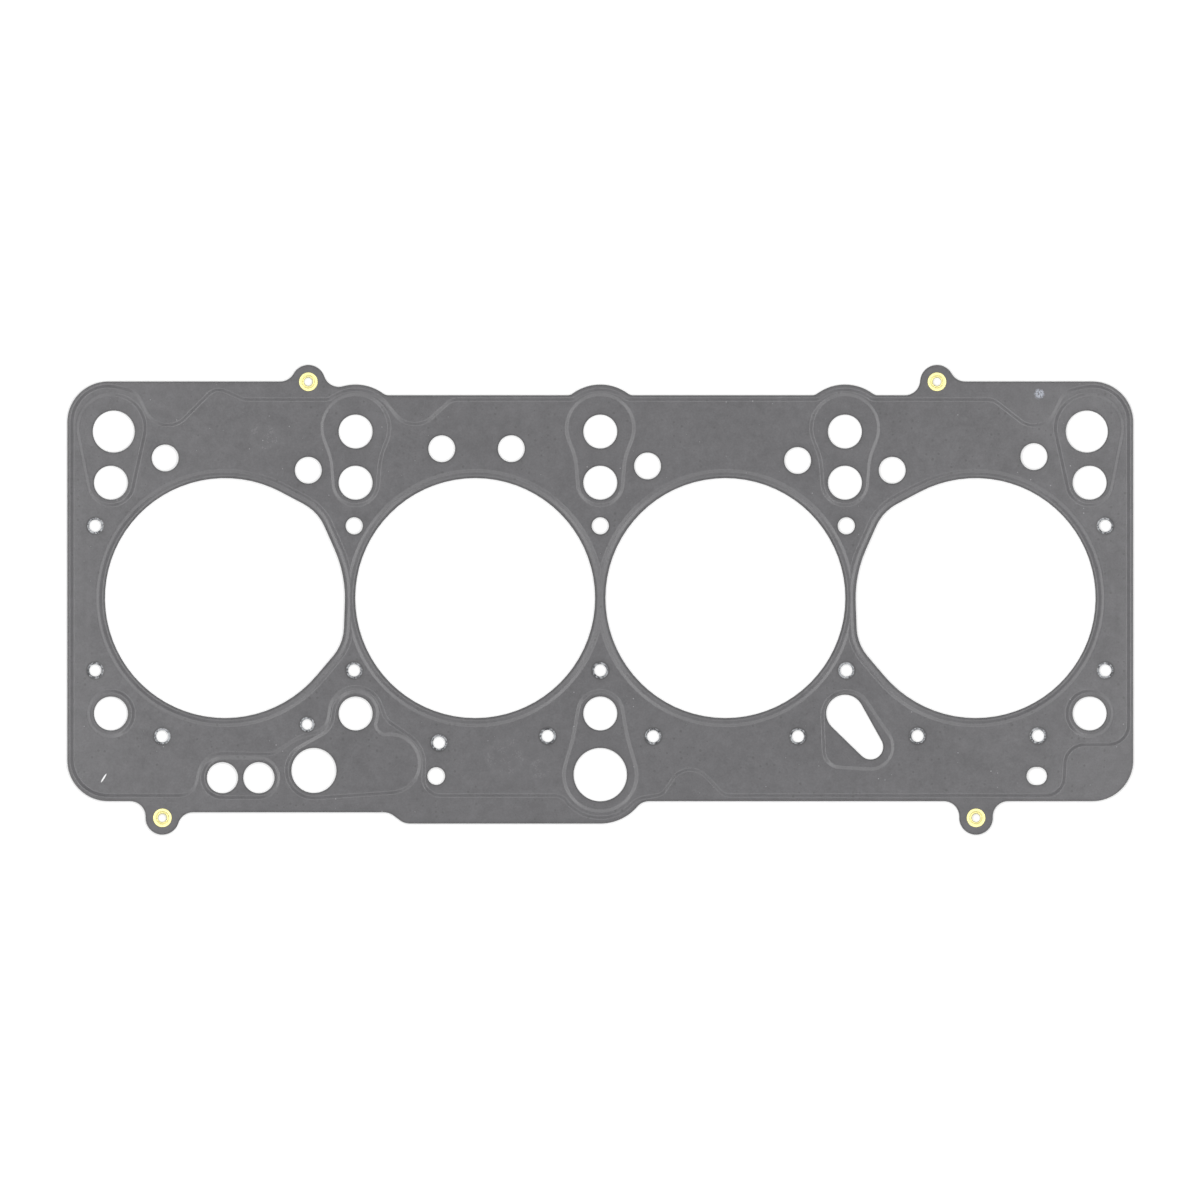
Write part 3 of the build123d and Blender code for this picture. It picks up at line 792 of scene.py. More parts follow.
@dataclass
class FormedSheet:
    """An outer sheet, formed smoothly over its beads, with rolled rims and bare sheared edges.

    Args:
        side: upper or lower sheet.
        holes: sizes and places of the holes.
        edge: outer edge.
        pads: raised sealing pads.
        half_bead: step between the raised middle and the margin.
        loops: steps round the bolt holes and passages.
    """

    side: Side
    holes: Passages
    edge: OuterEdge
    pads: SealingPads
    half_bead: HalfBead
    loops: BeadLoops
    thickness: float = 0.25
    margin_top: float = 1.3
    bead_height: float = 0.3
    full_height: float = 1.6
    step_width: float = 1.7
    groove_middle: float = 2.65
    groove_flank: float = 1.6
    land_middle: float = 1.575
    land_flank: float = 1.7
    eyelet_hole: float = 2.0
    rim_width: float = 0.34
    rim_drop: float = 0.02
    step_lines: tuple = (-0.85, -0.64, -0.425, -0.14, 0.14, 0.425, 0.64, 0.85)
    groove_lines: tuple = (0.75, 0.97, 1.18, 1.58, 1.98, 2.2, 2.4, 2.65, 3.05, 3.25, 3.45)
    rim_lines: tuple = (0.0, 0.16, 0.34, 0.55, 1.1)
    weld: float = 1e-5
    outline: Belt = field(init=False)
    openings: list[Belt] = field(init=False)
    rims: list[Belt] = field(init=False)
    bead: Belt = field(init=False)
    hollows: list[Belt] = field(init=False)
    raised: list[Belt] = field(init=False)

    def __post_init__(self) -> None:
        """Works out the plan curves once."""
        self.outline = self.edge.belt()
        self.openings = self.holes.openings()
        self.rims = self.holes.holes() + [disc(place, self.eyelet_hole) for place in self.edge.lugs()]
        self.bead = self.half_bead.belt()
        self.hollows = self.loops.belts()
        self.raised = self.pads.belts()

    def level(self, points: Array) -> Array:
        """Share of the bead height at plan points: 0 on the margin, 1 on the raised middle.

        The half bead rises towards the middle, the loops and the groove round each cylinder opening go back
        down, and the pads and the land beside each opening rise again:
        max(min(bead, loops, grooves), pads, lands), each a soft step of the distance from its curve.

        Args:
            points: rows (x, y) in millimetres.

        Returns:
            One share for each point.
        """
        wide = self.step_width
        share = smooth(0.5 - self.bead.distance(points) / wide)
        for loop in self.hollows:
            share = np.minimum(share, smooth(0.5 + loop.distance(points) / wide))
        beyond = np.array([opening.distance(points) for opening in self.openings]).min(0)
        share = np.minimum(share, smooth(0.5 + (beyond - self.groove_middle) / self.groove_flank))
        for pad in self.raised:
            share = np.maximum(share, smooth(0.5 - pad.distance(points) / wide))
        return np.maximum(share, smooth(0.5 - (beyond - self.land_middle) / self.land_flank))

    def inside(self, points: Array) -> Array:
        """Distance of plan points from the nearest edge, positive in the metal."""
        gap = -self.outline.distance(points)
        for rim in self.rims + self.openings:
            gap = np.minimum(gap, rim.distance(points))
        return gap

    def height(self, points: Array) -> Array:
        """Height of the outer face at plan points.

        Height = margin + bead height * level - rim drop * max(1 - distance from the edge / rim width, 0)^2.

        Args:
            points: rows (x, y) in millimetres.

        Returns:
            One height in millimetres for each point.
        """
        roll = np.maximum(1 - self.inside(points) / self.rim_width, 0) ** 2
        return self.margin_top + self.bead_height * self.level(points) - self.rim_drop * roll

    def slopes(self, points: Array, reach: float = 0.02) -> Array:
        """Shading normals (-dz/dx, -dz/dy, 1) of the outer face, from differences over a small reach.

        Args:
            points: rows (x, y) in millimetres.
            reach: half the span of each difference, in millimetres.

        Returns:
            One unit normal for each point.
        """
        falls = [(self.height(points - step) - self.height(points + step)) / (2 * reach)
                 for step in np.array([[reach, 0.0], [0.0, reach]])]
        normals = np.column_stack((*falls, np.ones(len(points))))
        return normals / np.linalg.norm(normals, axis=1, keepdims=True)

    def plan_lines(self) -> list[Array]:
        """Closed lines that the plan is divided along: edges, rims, and both flanks of every bead."""
        lines = [self.outline.line(-inset) for inset in self.rim_lines]
        lines += [rim.line(out) for rim in self.rims + self.openings for out in self.rim_lines]
        steps = (self.bead, *self.hollows, *self.raised)
        lines += [curve.line(out) for curve in steps for out in self.step_lines]
        lines += [opening.line(out) for opening in self.openings for out in self.groove_lines]
        return lines

    def divide(self) -> tuple[Array, Array]:
        """Divides the plan into triangles along the plan lines and drops those outside the metal.

        Returns:
            Plan points and rows of three corners, anticlockwise from above.
        """
        lines = self.plan_lines()
        points = np.concatenate(lines)
        sizes = np.array([len(line) for line in lines])
        first = np.repeat(np.cumsum(sizes) - sizes, sizes)
        count = np.repeat(sizes, sizes)
        here = np.arange(len(points))
        after = first + (here - first + 1) % count
        joins = np.column_stack((here, after))
        made = delaunay_2d_cdt(points.tolist(), joins.tolist(), [], 0, self.weld)
        plan = np.array([tuple(point) for point in made[0]])
        faces = np.array(made[2])
        faces = faces[self.inside(plan[faces].mean(1)) > 0]
        used, faces = np.unique(faces, return_inverse=True)
        return plan[used], faces.reshape(-1, 3)

    def mesh(self) -> MeshData:
        """The closed sheet: outer face, inner face one thickness below it, and walls along every edge.

        A wall stands on each side that only one triangle has. Its shading normal at a point is the mean of
        the outward normals of the two walls that meet there.

        Returns:
            The mesh arrays, mirrored in height for the lower sheet.
        """
        plan, faces = self.divide()
        count = len(plan)
        outer = np.column_stack((plan, self.height(plan)))
        formed = self.margin_top + self.bead_height * self.level(plan)
        inner = np.column_stack((plan, formed - self.thickness))
        slope = self.slopes(plan)
        sides = np.concatenate((faces[:, [0, 1]], faces[:, [1, 2]], faces[:, [2, 0]]))
        key = np.sort(sides, axis=1) @ np.array([count, 1])
        _, place, times = np.unique(key, return_index=True, return_counts=True)
        rim = sides[place[times == 1]]
        run = plan[rim[:, 1]] - plan[rim[:, 0]]
        out = np.column_stack((run[:, 1], -run[:, 0])) / np.linalg.norm(run, axis=1, keepdims=True)
        mean = np.zeros((count, 3))
        np.add.at(mean, (rim[:, 0], slice(0, 2)), out)
        np.add.at(mean, (rim[:, 1], slice(0, 2)), out)
        mean /= np.maximum(np.linalg.norm(mean, axis=1, keepdims=True), SLACK)
        start, end = rim[:, 0], rim[:, 1]
        walls = np.concatenate((np.column_stack((start + count, end + count, end)),
                                np.column_stack((start + count, end, start))))
        every = np.concatenate((faces, faces[:, ::-1] + count, walls))
        normals = np.concatenate((slope[faces], -slope[faces[:, ::-1]], mean[walls % count]))
        slots = np.repeat([0, 0, 1], [len(faces), len(faces), len(walls)])
        points = np.concatenate((outer, inner))
        if self.side is Side.LOWER:
            points[:, 2] = self.full_height - points[:, 2]
            normals = normals[:, ::-1] * np.array([1, 1, -1])
            every = every[:, ::-1]
        gap = np.tile(self.inside(plan), 2)
        return MeshData(points, every, normals, slots, {EDGE_GAP: gap})

    def build(self, coat: Material, bare: Material) -> Object:
        """Makes the piece in place of its CAD node.

        Args:
            coat: finish of both faces.
            bare: finish of the sheared edges.

        Returns:
            The finished piece.
        """
        piece = self.mesh().to_object(f"{self.side.value}_formed", [coat, bare])
        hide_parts(self.side.value)
        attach(piece, BODY)
        return piece


@dataclass
class EyeletSet:
    """Hollow brass rivets through the lugs, rolled over at both ends."""

    places: list[Point]
    bore: float = 1.5
    barrel: float = 1.95
    flange: float = 3.4
    margin_top: float = 1.3
    margin_bottom: float = 0.3
    crest: float = 1.52
    mouth: float = 0.35
    ring_radius: float = 2.2
    ring_depth: float = 0.09
    ring_width: float = 0.20
    ring_shade: float = 0.42
    rim_round: float = 0.2
    rim_upright: float = 0.06
    foot_inset: float = 0.05
    turns: int = 96
    round_steps: int = 12
    top_steps: int = 34

    def profile(self) -> Array:
        """Closed section (radius, height), anticlockwise, from the upper flange's foot inwards along its top.

        Top of the flange = crest - quarter round at the mouth - quarter round at the rim
        - ring depth * exp(-((radius - ring radius) / ring width)^2).

        Returns:
            Rows (radius, height) in millimetres.
        """
        angle = np.linspace(0, np.pi / 2, self.round_steps)
        rim = self.flange - self.rim_round * (1 - np.sin(angle))
        between = np.linspace(self.flange - self.rim_round, self.bore + self.mouth, self.top_steps)[1:-1]
        mouth = self.bore + self.mouth * (1 - np.cos(angle[::-1]))
        radius = np.concatenate((rim[::-1], between, mouth))
        at_rim = np.maximum(radius - (self.flange - self.rim_round), 0) / self.rim_round
        at_mouth = np.maximum(self.bore + self.mouth - radius, 0) / self.mouth
        tall = self.crest - self.margin_top
        fall = (tall - self.rim_upright) * (1 - np.sqrt(1 - np.clip(at_rim, 0, 1) ** 2))
        fall += self.mouth * (1 - np.sqrt(1 - np.clip(at_mouth, 0, 1) ** 2))
        fall += self.ring_depth * np.exp(-((radius - self.ring_radius) / self.ring_width) ** 2)
        top = np.column_stack((radius, self.crest - fall))
        foot = np.array([[self.barrel, self.margin_top], [self.flange - self.foot_inset, self.margin_top]])
        upper = np.concatenate((foot, top))
        lower = upper[::-1] * np.array([1, -1]) + np.array([0, self.margin_top + self.margin_bottom])
        return np.concatenate((upper, lower))

    def mesh(self) -> MeshData:
        """The section carried round each centre: point = centre + radius * (cos turn, sin turn), height.

        Returns:
            The mesh arrays of all the eyelets.
        """
        section = self.profile()
        ahead = np.roll(section, -1, axis=0) - np.roll(section, 1, axis=0)
        across = np.column_stack((ahead[:, 1], -ahead[:, 0]))
        across /= np.linalg.norm(across, axis=1, keepdims=True)
        turn = np.arange(self.turns) * 2 * np.pi / self.turns
        circle = np.column_stack((np.cos(turn), np.sin(turn)))
        ring = np.empty((self.turns, len(section), 3))
        ring[..., :2] = circle[:, None, :] * section[None, :, :1]
        ring[..., 2] = section[None, :, 1]
        facing = np.empty_like(ring)
        facing[..., :2] = circle[:, None, :] * across[None, :, :1]
        facing[..., 2] = across[None, :, 1]
        u, v = np.meshgrid(np.arange(self.turns), np.arange(len(section)), indexing="ij")
        u_next, v_next = (u + 1) % self.turns, (v + 1) % len(section)
        here, over, beyond, up = ((along * len(section) + row).ravel() for along, row in
                                  ((u, v), (u_next, v), (u_next, v_next), (u, v_next)))
        faces = np.concatenate((np.column_stack((here, over, beyond)), np.column_stack((here, beyond, up))))
        size = self.turns * len(section)
        shift = np.zeros((len(self.places), 1, 3))
        shift[:, 0, :2] = self.places
        points = (ring.reshape(1, -1, 3) + shift).reshape(-1, 3)
        every = (faces[None] + size * np.arange(len(self.places))[:, None, None]).reshape(-1, 3)
        normals = np.tile(facing.reshape(-1, 3), (len(self.places), 1))[every]
        # Painted shade: darker brass in a band round the ring dip of the flange, where shade falls.
        painted_ring_shade = np.exp(-((section[:, 0] - self.ring_radius) / self.ring_shade) ** 2)
        shade = np.tile(painted_ring_shade, self.turns * len(self.places))
        return MeshData(points, every, normals, np.zeros(len(every), int), {PAINTED_RING_SHADE: shade})

    def build(self, brass: Material) -> Object:
        """Makes the eyelets in place of their CAD node.

        Args:
            brass: finish of the eyelets.

        Returns:
            The finished piece.
        """
        piece = self.mesh().to_object("eyelets_rolled", [brass])
        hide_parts("eyelets")
        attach(piece, BODY)
        return piece


# ------------------------------------------------------------------ finishes
@dataclass
class Board:
    """Places nodes on one node tree and joins their sockets."""

    tree: Tree

    def add(self, kind: str, inputs: dict[str, object] | None = None, **settings: object) -> Node:
        """Adds a node.

        Args:
            kind: Blender's name of the node type.
            inputs: socket or plain value for each named input.
            settings: properties to set on it, before its inputs.

        Returns:
            The new node.
        """
        node = self.tree.nodes.new(kind)
        for name, value in settings.items():
            setattr(node, name, value)
        self.feed_named(node, inputs or {})
        return node

    def feed(self, socket: Socket, value: object) -> None:
        """Joins a socket to another one, or sets it to a plain value."""
        if isinstance(value, Socket):
            self.tree.links.new(value, socket)
        else:
            socket.default_value = value

    def feed_named(self, node: Node, values: dict[str, object]) -> None:
        """Feeds the named inputs of a node."""
        for name, value in values.items():
            self.feed(node.inputs[name], value)

    def feed_first(self, node: Node, values: tuple) -> Node:
        """Feeds the first inputs of a node in order."""
        for socket, value in zip(node.inputs, values):
            self.feed(socket, value)
        return node

    def maths(self, operation: str, *values: object) -> Socket:
        """Result of a Math node on sockets or numbers."""
        return self.feed_first(self.add("ShaderNodeMath", operation=operation), values).outputs[0]

    def vector(self, operation: str, *values: object) -> Node:
        """A Vector Math node on sockets or vectors."""
        return self.feed_first(self.add("ShaderNodeVectorMath", operation=operation), values)

    def noise(self, place: Socket, scale: object, detail: float = 2.0) -> Socket:
        """Noise value around a half at a place."""
        return self.add("ShaderNodeTexNoise", {"Vector": place, "Scale": scale, "Detail": detail}).outputs[0]

    def turned(self, place: Socket, heading: Socket) -> Socket:
        """A place turned about the upright axis."""
        return self.add("ShaderNodeVectorRotate", {"Vector": place, "Angle": heading},
                        rotation_type="Z_AXIS").outputs[0]

    def fit(self, value: object, low: object, high: object, to_low: object = 0.0,
            to_high: object = 1.0) -> Socket:
        """Value carried from one range to another, eased and held at its ends.

        Args:
            value: socket or number.
            low: start of the first range.
            high: end of the first range.
            to_low: start of the second range.
            to_high: end of the second range.

        Returns:
            The resulting socket.
        """
        node = self.add("ShaderNodeMapRange", interpolation_type="SMOOTHSTEP")
        return self.feed_first(node, (value, low, high, to_low, to_high)).outputs[0]

    def blend(self, share: object, first: object, second: object) -> Socket:
        """Colour between two others."""
        node = self.add("ShaderNodeMix", data_type="RGBA", clamp_factor=True)
        for place, value in zip(MIX_INPUTS, (share, first, second)):
            self.feed(node.inputs[place], value)
        return node.outputs[MIX_OUTPUT]

    def attribute(self, name: str) -> Socket:
        """Value of a point attribute of the mesh."""
        return self.add("ShaderNodeAttribute", attribute_name=name).outputs["Fac"]

    def call(self, group: Tree, **values: object) -> Node:
        """Places a node group, with its inputs set by name (an underscore stands for a space)."""
        named = {name.replace("_", " "): value for name, value in values.items()}
        return self.add("ShaderNodeGroup", named, node_tree=group)


def new_group(name: str, inputs: dict[str, str], outputs: tuple[str, ...]) -> tuple[Board, list, list]:
    """Starts a shader node group.

    Args:
        name: name of the group.
        inputs: socket type of each named input.
        outputs: names of the value outputs.

    Returns:
        Its board, the sockets that carry its inputs, and the sockets that take its results.
    """
    tree = bpy.data.node_groups.new(name, "ShaderNodeTree")
    for title, kind in inputs.items():
        tree.interface.new_socket(title, in_out="INPUT", socket_type=kind)
    for title in outputs:
        tree.interface.new_socket(title, in_out="OUTPUT", socket_type=VALUE)
    board = Board(tree)
    given, made = board.add("NodeGroupInput"), board.add("NodeGroupOutput")
    return board, [given.outputs[title] for title in inputs], [made.inputs[title] for title in outputs]


@dataclass
class Effects:
    """Surface effects shared by the finishes, each built once as a node group."""

    wide_scale: float = 0.16
    wide_weight: float = 0.6
    patch_detail: float = 3.0
    grain_detail: float = 4.0
    smallest_speck: float = 0.35
    speck_core: float = 0.6
    scratch_stretch: tuple = (1.0, 0.035, 0.0)
    scratch_detail: float = 3.0
    scratch_crest: float = 0.72
    scratch_edge: float = 0.04
    gap_scale: float = 90.0
    gap_range: Point = (0.52, 0.62)
    wobble_scale: float = 900.0
    wobble_detail: float = 3.0
    mottle: Tree = field(init=False)
    specks: Tree = field(init=False)
    scratches: Tree = field(init=False)
    spot: Tree = field(init=False)

    def __post_init__(self) -> None:
        """Builds every group."""
        self.mottle = self.make_mottle()
        self.specks = self.make_specks()
        self.scratches = self.make_scratches()
        self.spot = self.make_spot()

    def make_mottle(self) -> Tree:
        """Cloudy patches and fine grain: noises at three scales, each less a half."""
        board, (place, patch_scale, grain_scale), (patch, grain) = new_group(
            "mottle", {"Place": PLACE, "Patch Scale": VALUE, "Grain Scale": VALUE}, ("Patch", "Grain"))
        wide = board.noise(place, board.maths("MULTIPLY", patch_scale, self.wide_scale))
        large = board.maths("MULTIPLY", board.maths("SUBTRACT", wide, 0.5), self.wide_weight)
        small = board.maths("SUBTRACT", board.noise(place, patch_scale, self.patch_detail), 0.5)
        board.feed(patch, board.maths("ADD", large, small))
        fine = board.noise(place, grain_scale, self.grain_detail)
        board.feed(grain, board.maths("SUBTRACT", fine, 0.5))
        return board.tree

    def make_specks(self) -> Tree:
        """Scattered round specks: a share of the cells of a plan grid hold one, of uneven size."""
        board, (place, scale, share, size), (mask,) = new_group(
            "specks", {"Place": PLACE, "Scale": VALUE, "Share": VALUE, "Size": VALUE}, ("Mask",))
        cells = board.add("ShaderNodeTexVoronoi", voronoi_dimensions="2D")
        board.feed_named(cells, {"Vector": place, "Scale": scale})
        parts = board.feed_first(board.add("ShaderNodeSeparateColor"), (cells.outputs["Color"],))
        held = board.maths("LESS_THAN", parts.outputs[0], share)
        uneven = board.fit(parts.outputs[1], 0.0, 1.0, self.smallest_speck, 1.0)
        edge = board.maths("DIVIDE", cells.outputs["Distance"], board.maths("MULTIPLY", size, uneven))
        board.feed(mask, board.maths("MULTIPLY", held, board.fit(edge, self.speck_core, 1.0, 1.0, 0.0)))
        return board.tree

    def make_scratches(self) -> Tree:
        """Fine lines along one heading: a noise drawn out along it, kept only near its crests."""
        board, (place, heading, scale, share), (mask,) = new_group(
            "scratches", {"Place": PLACE, "Heading": VALUE, "Scale": VALUE, "Share": VALUE}, ("Mask",))
        drawn = board.vector("MULTIPLY", board.turned(place, heading), self.scratch_stretch).outputs[0]
        lines = board.noise(drawn, scale, self.scratch_detail)
        start = board.maths("SUBTRACT", self.scratch_crest, share)
        keep = board.fit(lines, start, board.maths("ADD", start, self.scratch_edge))
        gaps = board.fit(board.noise(place, self.gap_scale), *self.gap_range)
        board.feed(mask, board.maths("MULTIPLY", keep, gaps))
        return board.tree

    def make_spot(self) -> Tree:
        """One oval mark: 1 within its half sizes, fading over a soft edge that a noise makes uneven."""
        board, (place, centre, heading, half_sizes, softness, unevenness), (mask, distance) = new_group(
            "spot", {"Place": PLACE, "Centre": PLACE, "Heading": VALUE, "Half Sizes": PLACE,
                     "Softness": VALUE, "Unevenness": VALUE}, ("Mask", "Distance"))
        away = board.vector("SUBTRACT", place, centre).outputs[0]
        flat = board.vector("MULTIPLY", away, (1.0, 1.0, 0.0)).outputs[0]
        scaled = board.vector("DIVIDE", board.turned(flat, heading), half_sizes).outputs[0]
        reach = board.vector("LENGTH", scaled).outputs["Value"]
        wobble = board.maths("SUBTRACT", board.noise(place, self.wobble_scale, self.wobble_detail), 0.5)
        uneven = board.maths("MULTIPLY_ADD", wobble, unevenness, reach)
        board.feed(mask, board.fit(uneven, 1.0, board.maths("ADD", 1.0, softness), 1.0, 0.0))
        board.feed(distance, uneven)
        return board.tree


class Surface:
    """A material in the making, with its Principled shader and its object coordinates.

    Args:
        name: name of the material.
    """

    def __init__(self, name: str) -> None:
        """Starts the material."""
        self.material = bpy.data.materials.new(name)
        self.material.use_nodes = True
        self.material.node_tree.nodes.clear()
        self.board = Board(self.material.node_tree)
        self.shader = self.board.add("ShaderNodeBsdfPrincipled")
        self.board.add("ShaderNodeOutputMaterial", {"Surface": self.shader.outputs[0]})
        self.place = self.board.add("ShaderNodeTexCoord").outputs["Object"]

    def effect(self, group: Tree, **values: object) -> Node:
        """Places one of the shared groups at the object coordinates."""
        return self.board.call(group, Place=self.place, **values)

    def mottle(self, effects: Effects, patch_scale: float, grain_scale: float) -> tuple[Socket, Socket]:
        """Values of the cloudy patches and of the fine grain."""
        node = self.effect(effects.mottle, Patch_Scale=patch_scale, Grain_Scale=grain_scale)
        return node.outputs["Patch"], node.outputs["Grain"]

    def complete(self, shade: Socket, rough: Socket, height: Socket, bump: float, relief: float) -> Material:
        """Joins colour, roughness and relief to the shader.

        Args:
            shade: base colour.
            rough: roughness.
            height: height of the relief.
            bump: strength of the relief.
            relief: depth of the relief, in metres.

        Returns:
            The finished material.
        """
        normal = self.board.add("ShaderNodeBump", {"Strength": bump, "Distance": relief, "Height": height})
        self.board.feed_named(self.shader, {"Base Color": shade, "Roughness": rough,
                                            "Normal": normal.outputs[0]})
        return self.material


@dataclass(frozen=True)
class Specks:
    """Scattered specks: cells for each metre, the share that hold one, its size in cells, and strength."""

    scale: float
    share: float
    size: float
    strength: float

    def mask(self, surface: Surface, effects: Effects) -> Socket:
        """Their mask times their strength."""
        node = surface.effect(effects.specks, Scale=self.scale, Share=self.share, Size=self.size)
        return surface.board.maths("MULTIPLY", node.outputs["Mask"], self.strength)


@dataclass(frozen=True)
class Scratches:
    """Thin scratches: heading in radians, scale across them, the share of the face, and strength."""

    heading: float
    scale: float
    share: float
    strength: float

    def mask(self, surface: Surface, effects: Effects) -> Socket:
        """Their mask times their strength."""
        node = surface.effect(effects.scratches, Heading=self.heading, Scale=self.scale, Share=self.share)
        return surface.board.maths("MULTIPLY", node.outputs["Mask"], self.strength)


@dataclass(frozen=True)
class Mark:
    """A mark on the upper sheet, by its centre, half sizes in millimetres and heading in degrees."""

    centre: Point
    half_sizes: Point
    heading: float = 0.0
    softness: float = 0.3
    unevenness: float = 0.5

    def on(self, surface: Surface, effects: Effects) -> Node:
        """Places its group on a surface."""
        centre, half = ([size * MM for size in pair] for pair in (self.centre, self.half_sizes))
        return surface.effect(effects.spot, Centre=(*centre, 0.0), Half_Sizes=(*half, 1.0),
                              Heading=float(np.radians(self.heading)), Softness=self.softness,
                              Unevenness=self.unevenness)


@dataclass(frozen=True)
class CoatFinish:
    """Satin grey coat: clouds, grain, painted shade at the rims and margin, a few light and dark specks, thin
    scratches and marks.
    """

    colour: tuple = (0.0884, 0.0864, 0.0920, 1.0)
    dark: tuple = (0.06, 0.06, 0.062, 1.0)
    light: tuple = (0.30, 0.30, 0.31, 1.0)
    ink: tuple = (0.395, 0.42, 0.485, 1.0)
    bare: tuple = (0.80, 0.80, 0.80, 1.0)
    patch_scale: float = 330.0
    grain_scale: float = 1500.0
    cloud: float = 0.37
    grain: float = 0.38
    roughness: float = 0.22
    patch_roughness: float = 0.10
    grain_roughness: float = 0.12
    # painted shade: rim_shade and margin_shade darken the coat within rim_width and margin_width of every
    # edge
    rim_width: float = 0.8
    rim_shade: float = 0.5
    margin_width: float = 2.2
    margin_shade: float = 0.12
    pale_specks: Specks = Specks(420.0, 0.035, 0.13, 0.55)
    deep_specks: Specks = Specks(420.0, 0.3, 0.24, 0.7)
    group_scale: float = 45.0
    group_detail: float = 1.0
    group_range: Point = (0.42, 0.58)
    scratches: Scratches = Scratches(0.12, 5200.0, 0.02, 0.16)
    ink_mark: Mark = Mark((157.9, 73.4), (1.1, 1.05), 0.0, 0.9, 1.2)
    ink_strength: float = 0.9
    dapple_scale: float = 2200.0
    dapple_detail: float = 3.0
    dapple_range: Point = (0.36, 0.54)
    scrape: Mark = Mark((-178.6, -64.7), (0.24, 1.5), 32.0, 0.4, 0.3)
    stains: tuple[Mark, ...] = (Mark((-34.5, -57.4), (6.0, 6.0)), Mark((-21.8, -61.4), (3.4, 3.0)),
                                Mark((-121.3, 57.9), (4.5, 4.0)))
    ring_start: Point = (0.72, 0.95)
    ring_end: Point = (1.0, 1.25)
    stain_strength: float = 0.035
    stain_roughness: float = 0.035
    bump: float = 0.35
    relief: float = 0.00001
    patch_height: float = 0.8

    def add_marks(self, surface: Surface, effects: Effects, shade: Socket,
                  rough: Socket) -> tuple[Socket, Socket]:
        """Adds the dappled ink spot, the scrape and the faint round stains.

        Args:
            surface: the material in the making.
            effects: the shared groups.
            shade: colour so far.
            rough: roughness so far.

        Returns:
            The new colour and roughness.
        """
        board = surface.board
        ink = self.ink_mark.on(surface, effects).outputs["Mask"]
        uneven = board.noise(surface.place, self.dapple_scale, self.dapple_detail)
        ink = board.maths("MULTIPLY", ink, board.fit(uneven, *self.dapple_range))
        shade = board.blend(board.maths("MULTIPLY", ink, self.ink_strength), shade, self.ink)
        shade = board.blend(self.scrape.on(surface, effects).outputs["Mask"], shade, self.bare)
        for mark in self.stains:
            mask, distance = mark.on(surface, effects).outputs
            ring = board.maths("MULTIPLY", board.fit(distance, *self.ring_start),
                               board.fit(distance, *self.ring_end, 1.0, 0.0))
            shade = board.blend(board.maths("MULTIPLY", ring, self.stain_strength), shade, self.light)
            rough = board.maths("MULTIPLY_ADD", mask, self.stain_roughness, rough)
        return shade, rough

    def build(self, effects: Effects, marked: bool) -> Material:
        """Makes the material.

        Args:
            effects: the shared groups.
            marked: whether it has the marks of the upper sheet.

        Returns:
            The material.
        """
        surface = Surface("coat_marked" if marked else "coat_plain")
        board = surface.board
        patch, grain = surface.mottle(effects, self.patch_scale, self.grain_scale)
        tone = board.maths("MULTIPLY_ADD", patch, self.cloud, 1.0)
        tone = board.maths("MULTIPLY_ADD", grain, self.grain, tone)
        # Painted shade: the tone falls towards every edge, by rim_shade within rim_width and margin_shade
        # within margin_width.
        gap = board.attribute(EDGE_GAP)
        for width, fall in ((self.rim_width, self.rim_shade), (self.margin_width, self.margin_shade)):
            tone = board.maths("MULTIPLY", tone, board.fit(gap, 0.0, width, 1.0 - fall, 1.0))
        colour = board.vector("SCALE", self.colour[:3])
        board.feed_named(colour, {"Scale": tone})
        grouped = board.fit(board.noise(surface.place, self.group_scale, self.group_detail),
                            *self.group_range)
        deep = board.maths("MULTIPLY", self.deep_specks.mask(surface, effects), grouped)
        shade = board.blend(self.pale_specks.mask(surface, effects), colour.outputs[0], self.light)
        shade = board.blend(deep, shade, self.dark)
        shade = board.blend(self.scratches.mask(surface, effects), shade, self.light)
        rough = board.maths("MULTIPLY_ADD", patch, self.patch_roughness, self.roughness)
        if marked:
            shade, rough = self.add_marks(surface, effects, shade, rough)
        rough = board.maths("MULTIPLY_ADD", grain, self.grain_roughness, rough)
        height = board.maths("MULTIPLY_ADD", patch, self.patch_height, grain)
        return surface.complete(shade, rough, height, self.bump, self.relief)


@dataclass(frozen=True)
class MetalFinish:
    """Bare metal: tone clouds, dark specks, painted shade where a mesh carries the ring attribute, and a fine
    uneven face that sparkles.
    """

    name: str
    colour: tuple
    deep: tuple
    roughness: float
    cloud: float
    contrast: float
    patch_scale: float
    grain_scale: float
    relief: float
    specks: Specks = Specks(1500.0, 0.15, 0.3, 0.7)
    scratches: Scratches = Scratches(0.5, 7000.0, 0.1, 0.12)
    grain_roughness: float = 0.3
    bump: float = 0.6

    def build(self, effects: Effects) -> Material:
        """Makes the material.

        Args:
            effects: the shared groups.

        Returns:
            The material.
        """
        surface = Surface(self.name)
        board = surface.board
        board.feed_named(surface.shader, {"Metallic": 1.0})
        patch, grain = surface.mottle(effects, self.patch_scale, self.grain_scale)
        half = 0.5 / self.contrast
        cloudy = board.fit(board.maths("ADD", patch, grain), -half, half)
        # Painted shade: the eyelets' ring attribute pulls the colour towards the deep one.
        share = board.maths("MAXIMUM", board.maths("MULTIPLY", cloudy, self.cloud), board.attribute(PAINTED_RING_SHADE))
        shade = board.blend(share, self.colour, self.deep)
        shade = board.blend(self.specks.mask(surface, effects), shade, self.deep)
        rough = board.maths("ADD", self.scratches.mask(surface, effects), self.roughness)
        rough = board.maths("MULTIPLY_ADD", grain, self.grain_roughness, rough)
        return surface.complete(shade, rough, grain, self.bump, self.relief)


